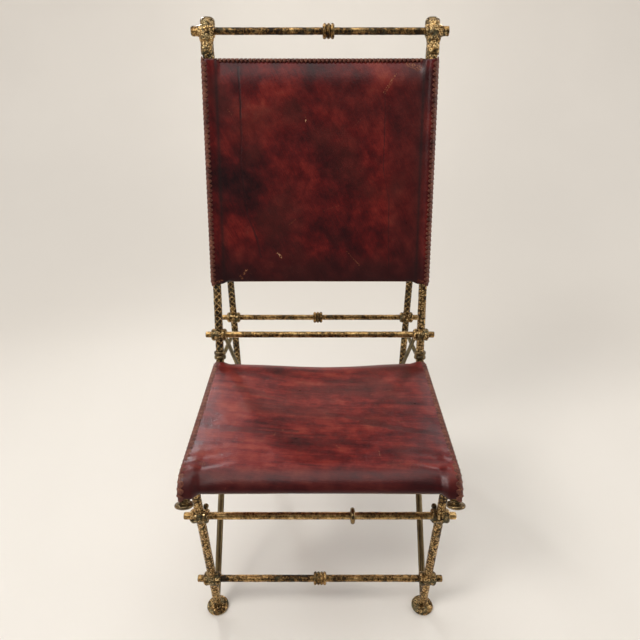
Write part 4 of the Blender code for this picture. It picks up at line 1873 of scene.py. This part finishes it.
@dataclass
class SeatSling(Sling):
    """The seat, hung between the two rails and rolled over their front bends.

    Args:
        front_margin, rear_margin: the distance from the rail's front end and from its rear corner.
        edge_dish, middle_dish, front_dish: the hollow at the rear edge, under the sitter and in front.
        front_share, dish_power: the share of the length in front, and how full the hollow is.
        pocket_drop, drop_power: how far the pockets hang below the apron, and how soon that runs out.
        rear_cut, cut_power: how far the pockets stop short at the rear, and how soon that runs out.
        rear_fall, rear_fall_share: how far the rear edge rolls down, and over what share of the length.
        front_fall, front_fall_share: the same in front.
        pucker, pucker_pitch, pucker_slant: the puckers' height, spacing and slant.
        pucker_band, corner_reach, corner_inset: where they lie along the rail, and in from it.
        roll_wave, roll_band, roll_scale: the front roll's waves, where they lie, and their scale.
        wave_seed: which waves are taken.
        rail, span: the right rail, and the sling's length along it.
    """

    valley: float = 0.0
    edge_ease: float = 2.4
    leave: float = 0.06
    leave_turn: float = math.radians(93.0)
    seam: float = math.radians(58.0)
    lace_width: float = 0.0122
    lace_pitch: float = 0.0115
    lace_turn: tuple[float, float] = (0.0036, 0.0092)
    lace_far: float = 0.50
    pocket_shade: float = 0.10
    wave_sizes: tuple[tuple[float, float], ...] = ((0.0010, 8.0), (0.0006, 22.0))
    front_margin: float = 0.0105
    rear_margin: float = 0.017
    edge_dish: float = 0.0090
    middle_dish: float = 0.0150
    front_dish: float = 0.0020
    front_share: float = 0.14
    dish_power: float = 0.8
    pocket_drop: float = 0.006
    drop_power: int = 10
    rear_cut: float = 0.007
    cut_power: int = 24
    rear_fall: float = 0.0100
    rear_fall_share: float = 0.070
    front_fall: float = 0.009
    front_fall_share: float = 0.30
    pucker: float = 0.0009
    pucker_band: tuple[float, float] = (0.045, 0.035)
    pucker_pitch: float = 0.0042
    pucker_slant: float = 60.0
    corner_reach: float = 0.040
    corner_inset: float = 0.8
    roll_wave: float = 0.0016
    roll_band: tuple[float, float] = (0.050, 0.040)
    roll_scale: float = 15.0
    wave_seed: float = 3.0
    rail: SeatRail = field(init=False)
    span: float = field(init=False)

    def __post_init__(self) -> None:
        """Lay the sling along the right rail."""
        self.rail = SeatRail(Side.RIGHT)
        rear_y = self.rail.front.y + self.rail.depth - self.rear_margin
        tangent = self.rail.rear_bend * math.tan((math.pi / 2.0 - self.rail.lean) / 2.0)
        bent = self.rail.rear_bend * (math.pi / 2.0 - self.rail.lean)
        tail = self.rail.rise - tangent + bent
        flat_end = self.rail.front.y + self.rail.depth - tangent
        self.span = self.rail.length() - tail - (flat_end - rear_y) - self.front_margin

    def rod_name(self, side: Side) -> str:
        """The rail inside a pocket."""
        return side.node("seat_rail")

    def length(self) -> float:
        """The distance along the rail from the apron's edge to the rear edge."""
        return self.span

    def rod_at(self, distance: float) -> tuple[Vector, Vector, Vector]:
        """The right rail at a distance from the apron's edge."""
        return self.rail.at(distance + self.front_margin)

    def dish(self, share: float) -> float:
        """How deep the seat sags: most under the sitter, little at the rear edge and the front roll.

        Args:
            share: the place along the sling, from 0 at its lower edge to 1.

        Returns:
            The sag in the middle.
        """
        seat = max(0.0, (share - self.front_share) / (1.0 - self.front_share))
        edge = self.front_dish + (self.edge_dish - self.front_dish) * seat
        return edge + (self.middle_dish - self.edge_dish) * math.sin(math.pi * seat) ** self.dish_power

    def overhang(self, share: float) -> float:
        """The pockets run further down the rails than the apron does, and stop short of the collars."""
        front = self.pocket_drop * (1.0 - share) ** self.drop_power
        return -front - self.rear_cut * share ** self.cut_power

    def wrinkle(self, x: float, distance: float) -> float:
        """Slow waves, and puckers where the front corners are drawn round the bends.

        Args:
            x: the place across.
            distance: the place along, from the apron's edge.

        Returns:
            How far the leather stands proud.
        """
        place = Vector((x, distance, self.wave_seed))
        inset = (self.rail.front_half_width - abs(x)) / self.corner_reach
        near_bend = bell(distance, *self.pucker_band) * bell(inset, self.corner_inset, 1.0)
        roll = self.roll_wave * bell(distance, *self.roll_band) * noise.noise(place * self.roll_scale)
        furrows = math.sin(distance / self.pucker_pitch + self.pucker_slant * abs(x))
        return self.waves(place) + roll + self.pucker * near_bend * furrows

    def fall(self, share: float) -> float:
        """The rear edge rolls down, and the front eases into its roll.

        Args:
            share: the place along the sling, from 0 at its lower edge to 1.

        Returns:
            How far the sheet falls away.
        """
        rear = max(0.0, (share - 1.0) / self.rear_fall_share + 1.0)
        front = max(0.0, 1.0 - share / self.front_fall_share)
        return self.rear_fall * rear ** 2 + self.front_fall * front ** 2


# Wear on each sheet's own map, in metres, with painted shade in the creases and painted sheen on the seat's
# front roll
BACK_LEATHER = WornLeather(
    name="back",
    streaks=2.0,
    turn=1.10,
    brighten=0.0,
    dark_hem=0.085,
    stains=strokes(
        (-0.135, 0.205, -0.060, 0.185, 0.080, 0.14), (-0.185, 0.030, -0.070, 0.045, 0.070, 0.40),
        # The stroke down the right band at 0.200 across is partly a browner tone, partly painted shade.
        (-0.030, 0.015, 0.130, 0.012, 0.060, 0.40), (0.200, 0.030, 0.200, 0.430, 0.060, 0.45),
        (0.060, 0.410, 0.120, 0.380, 0.070, 0.28),
    ),
    creases=(
        *chain([(-0.1756, 0.465), (-0.1729, 0.393), (-0.1732, 0.321), (-0.1762, 0.267), (-0.1697, 0.197),
                (-0.1652, 0.155), (-0.1452, 0.100), (-0.1356, 0.057)], 0.0030, 0.75),
        *chain([(0.1397, 0.415), (0.1419, 0.376), (0.1413, 0.253), (0.1554, 0.186), (0.1574, 0.074),
                (0.1601, 0.024)], 0.0017, 0.50),
    ),
    scuffs=strokes(
        (0.1363, 0.412, 0.1600, 0.447, 0.0012, 0.75), (0.1398, 0.410, 0.1560, 0.434, 0.0010, 0.65),
        (0.1440, 0.420, 0.1640, 0.450, 0.0010, 0.60), (0.1880, 0.472, 0.2120, 0.462, 0.0095, 0.55),
        (0.0613, 0.0701, 0.0909, 0.0378, 0.0013, 0.60), (-0.0711, 0.130, -0.0549, 0.143, 0.0012, 0.40),
        (-0.2004, 0.380, -0.1927, 0.366, 0.0013, 0.50), (-0.0311, 0.364, -0.0303, 0.353, 0.0019, 0.95),
        (-0.0985, 0.0655, -0.0894, 0.0568, 0.0034, 0.95), (-0.1766, 0.0180, -0.1696, 0.0280, 0.0032, 0.75),
        (-0.1861, 0.0138, -0.1815, 0.0073, 0.0028, 0.70), (0.0065, 0.162, 0.0426, 0.173, 0.0009, 0.35),
        (0.0700, 0.339, 0.0939, 0.363, 0.0010, 0.30), (-0.2450, 0.000, -0.2280, 0.002, 0.0045, 0.55),
        (0.2280, 0.002, 0.2450, 0.000, 0.0045, 0.45),
    ),
)
SEAT_LEATHER = WornLeather(
    name="seat",
    streaks=10.0,
    turn=0.10,
    # Painted light: the seat's tone is lifted above the back's.
    brighten=0.060,
    # Painted shade on the apron: the seat darkens towards its lower edge.
    dark_hem=0.050,
    stains=strokes(
        (-0.190, 0.020, 0.190, 0.020, 0.030, 0.40), (-0.150, 0.225, 0.020, 0.205, 0.030, 0.35),
        (0.030, 0.300, 0.150, 0.270, 0.035, 0.30),
    ),
    creases=strokes(
        (-0.222, 0.151, -0.140, 0.148, 0.0080, 0.62), (-0.195, 0.143, -0.085, 0.139, 0.0065, 0.55),
        (-0.150, 0.154, -0.045, 0.146, 0.0050, 0.50), (-0.110, 0.134, 0.010, 0.133, 0.0040, 0.40),
        (-0.190, 0.286, -0.125, 0.270, 0.0090, 0.42), (-0.150, 0.266, -0.085, 0.254, 0.0070, 0.40),
        (0.055, 0.192, 0.130, 0.166, 0.0070, 0.50), (0.085, 0.172, 0.185, 0.143, 0.0080, 0.58),
        (0.140, 0.152, 0.230, 0.128, 0.0075, 0.58), (0.015, 0.205, 0.090, 0.186, 0.0050, 0.40),
    ),
    scuffs=strokes(
        (-0.088, 0.142, -0.092, 0.130, 0.0013, 0.45), (-0.165, 0.100, -0.142, 0.115, 0.0011, 0.38),
        (-0.043, 0.108, -0.043, 0.078, 0.0011, 0.30), (0.093, 0.260, 0.162, 0.278, 0.0009, 0.40),
        (0.032, 0.101, 0.040, 0.092, 0.0014, 0.50), (0.112, 0.086, 0.112, 0.072, 0.0013, 0.50),
        (0.160, 0.172, 0.172, 0.166, 0.0060, 0.30), (-0.075, 0.150, -0.072, 0.148, 0.0016, 0.60),
        # Partly worn tan, partly painted sheen: the broad front-roll stroke at 0.130 and the front-corner
        # strokes.
        (0.118, 0.232, 0.120, 0.230, 0.0014, 0.60), (0.130, 0.050, 0.180, 0.048, 0.0140, 0.26),
        (-0.262, 0.030, -0.250, 0.020, 0.0050, 0.65), (-0.238, 0.062, -0.216, 0.050, 0.0090, 0.34),
        (0.250, 0.040, 0.262, 0.020, 0.0045, 0.45),
    ),
)

# The rear lamps' spread and tint
GRID = math.radians(60.0)
COOL: Colour = (0.92, 0.96, 1.0)


@dataclass
class Lamp:
    """A soft studio lamp.

    Args:
        name: its name.
        place: where it hangs.
        target: what it points at.
        size: its width and height.
        power: its power in watts.
        colour: its tint.
        spread: the angle its grid lets out.
    """

    name: str
    place: tuple[float, float, float]
    target: tuple[float, float, float]
    size: tuple[float, float]
    power: float
    colour: Colour = (1.0, 0.985, 0.965)
    spread: float = math.pi

    def build(self) -> None:
        """Hang the lamp."""
        data = bpy.data.lights.new(self.name, "AREA")
        data.shape = "RECTANGLE"
        data.size, data.size_y = self.size
        data.energy = self.power
        data.color = self.colour
        data.spread = self.spread
        lamp = bpy.data.objects.new(self.name, data)
        lamp.location = self.place
        lamp.rotation_euler = (Vector(self.target) - lamp.location).to_track_quat("-Z", "Y").to_euler()
        bpy.context.scene.collection.objects.link(lamp)


@dataclass
class Studio:
    """Paper floor and backdrop, lamps, sky and camera.

    Args:
        shop: the workshop that makes the paper's material.
        half_width, front, back, height: how far the paper reaches.
        cove, cove_steps: the radius of its sweep, and the steps in it.
        sky, sky_strength: the light from all round.
        eye, dip: the camera's place, and how far it looks down.
        lens, sensor: its focal length and sensor in millimetres.
        lamps: the lamps.
    """

    shop: Workshop
    half_width: float = 6.0
    front: float = -4.0
    back: float = 2.6
    height: float = 2.7
    cove: float = 1.6
    cove_steps: int = 12
    sky: Colour = (0.93, 0.96, 1.0)
    sky_strength: float = 0.14
    eye: tuple[float, float, float] = (0.0, -1.0263, 1.1663)
    dip: float = math.radians(29.2)
    lens: float = 30.83
    sensor: float = 36.0
    lamps: tuple[Lamp, ...] = (
        Lamp("overhead", (0.1, 0.35, 4.0), (0.0, 0.1, 0.0), (3.4, 2.8), 58.0),
        Lamp("front", (-0.45, -1.4, 3.5), (0.0, 0.0, 0.5), (2.0, 0.8), 13.0),
        Lamp("key", (-2.6, -1.6, 3.6), (0.0, -0.4, 0.0), (1.4, 1.4), 83.0),
        Lamp("left_panel", (-3.2, 0.0, 1.3), (0.0, 0.0, 0.2), (2.5, 2.0), 18.0),
        Lamp("right_panel", (3.2, 0.0, 1.3), (0.0, 0.0, 0.2), (2.5, 2.0), 44.0),
        Lamp("rear_left", (-1.20, 2.2, 2.05), (-0.23, -0.1, 0.44), (0.24, 0.60), 2.8, COOL, GRID),
        Lamp("rear_right", (1.20, 2.2, 2.05), (0.23, -0.1, 0.44), (0.24, 0.60), 0.9, COOL, GRID),
    )

    def paper(self) -> None:
        """One sheet of paper, swept up behind the chair."""
        bm = bmesh.new()
        ends = [(self.front, 0.0)]
        for i in range(self.cove_steps + 1):
            turn = math.radians(90.0 * i / self.cove_steps)
            y = self.back - self.cove + self.cove * math.sin(turn)
            ends.append((y, self.cove * (1.0 - math.cos(turn))))
        ends.append((self.back, self.height))
        verts = [bm.verts.new((-self.half_width, y, z)) for y, z in ends]
        edges = [bm.edges.new(pair) for pair in zip(verts, verts[1:])]
        grown = bmesh.ops.extrude_edge_only(bm, edges=edges)["geom"]
        fresh = [item for item in grown if isinstance(item, bmesh.types.BMVert)]
        bmesh.ops.translate(bm, verts=fresh, vec=(2.0 * self.half_width, 0.0, 0.0))
        bmesh.ops.recalc_face_normals(bm, faces=bm.faces)
        mesh = bpy.data.meshes.new("paper")
        bm.to_mesh(mesh)
        bm.free()
        mesh.shade_smooth()
        mesh.materials.append(self.shop.material(PaleFloor()))
        paper = bpy.data.objects.new("paper", mesh)
        bpy.context.scene.collection.objects.link(paper)

    def build(self) -> None:
        """Set the studio up."""
        self.paper()
        for lamp in self.lamps:
            lamp.build()
        scene = bpy.context.scene
        world = bpy.data.worlds.new("sky")
        world.use_nodes = True
        background = world.node_tree.nodes["Background"]
        background.inputs["Color"].default_value = (*self.sky, 1.0)
        background.inputs["Strength"].default_value = self.sky_strength
        scene.world = world
        camera = bpy.data.cameras.new("camera")
        camera.lens = self.lens
        camera.sensor_width = self.sensor
        eye = bpy.data.objects.new("camera", camera)
        eye.location = self.eye
        eye.rotation_euler = (math.pi / 2.0 - self.dip, 0.0, 0.0)
        scene.collection.objects.link(eye)
        scene.camera = eye
        scene.view_settings.view_transform = "Standard"


def main() -> None:
    """Clear the scene, load the frame and build every sub-assembly in order."""
    logging.basicConfig(level=logging.INFO, format="%(message)s")
    for old in list(bpy.data.objects):
        bpy.data.objects.remove(old, do_unlink=True)
    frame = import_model()
    shop = Workshop(frame)
    for assembly in (RodFrame(shop), SeatRails(shop), Fittings(shop), Braces(shop),
                     BackSling(shop, "back", BACK_LEATHER),
                     SeatSling(shop, "seat", SEAT_LEATHER), Studio(shop)):
        assembly.build()


if __name__ == "__main__":
    main()
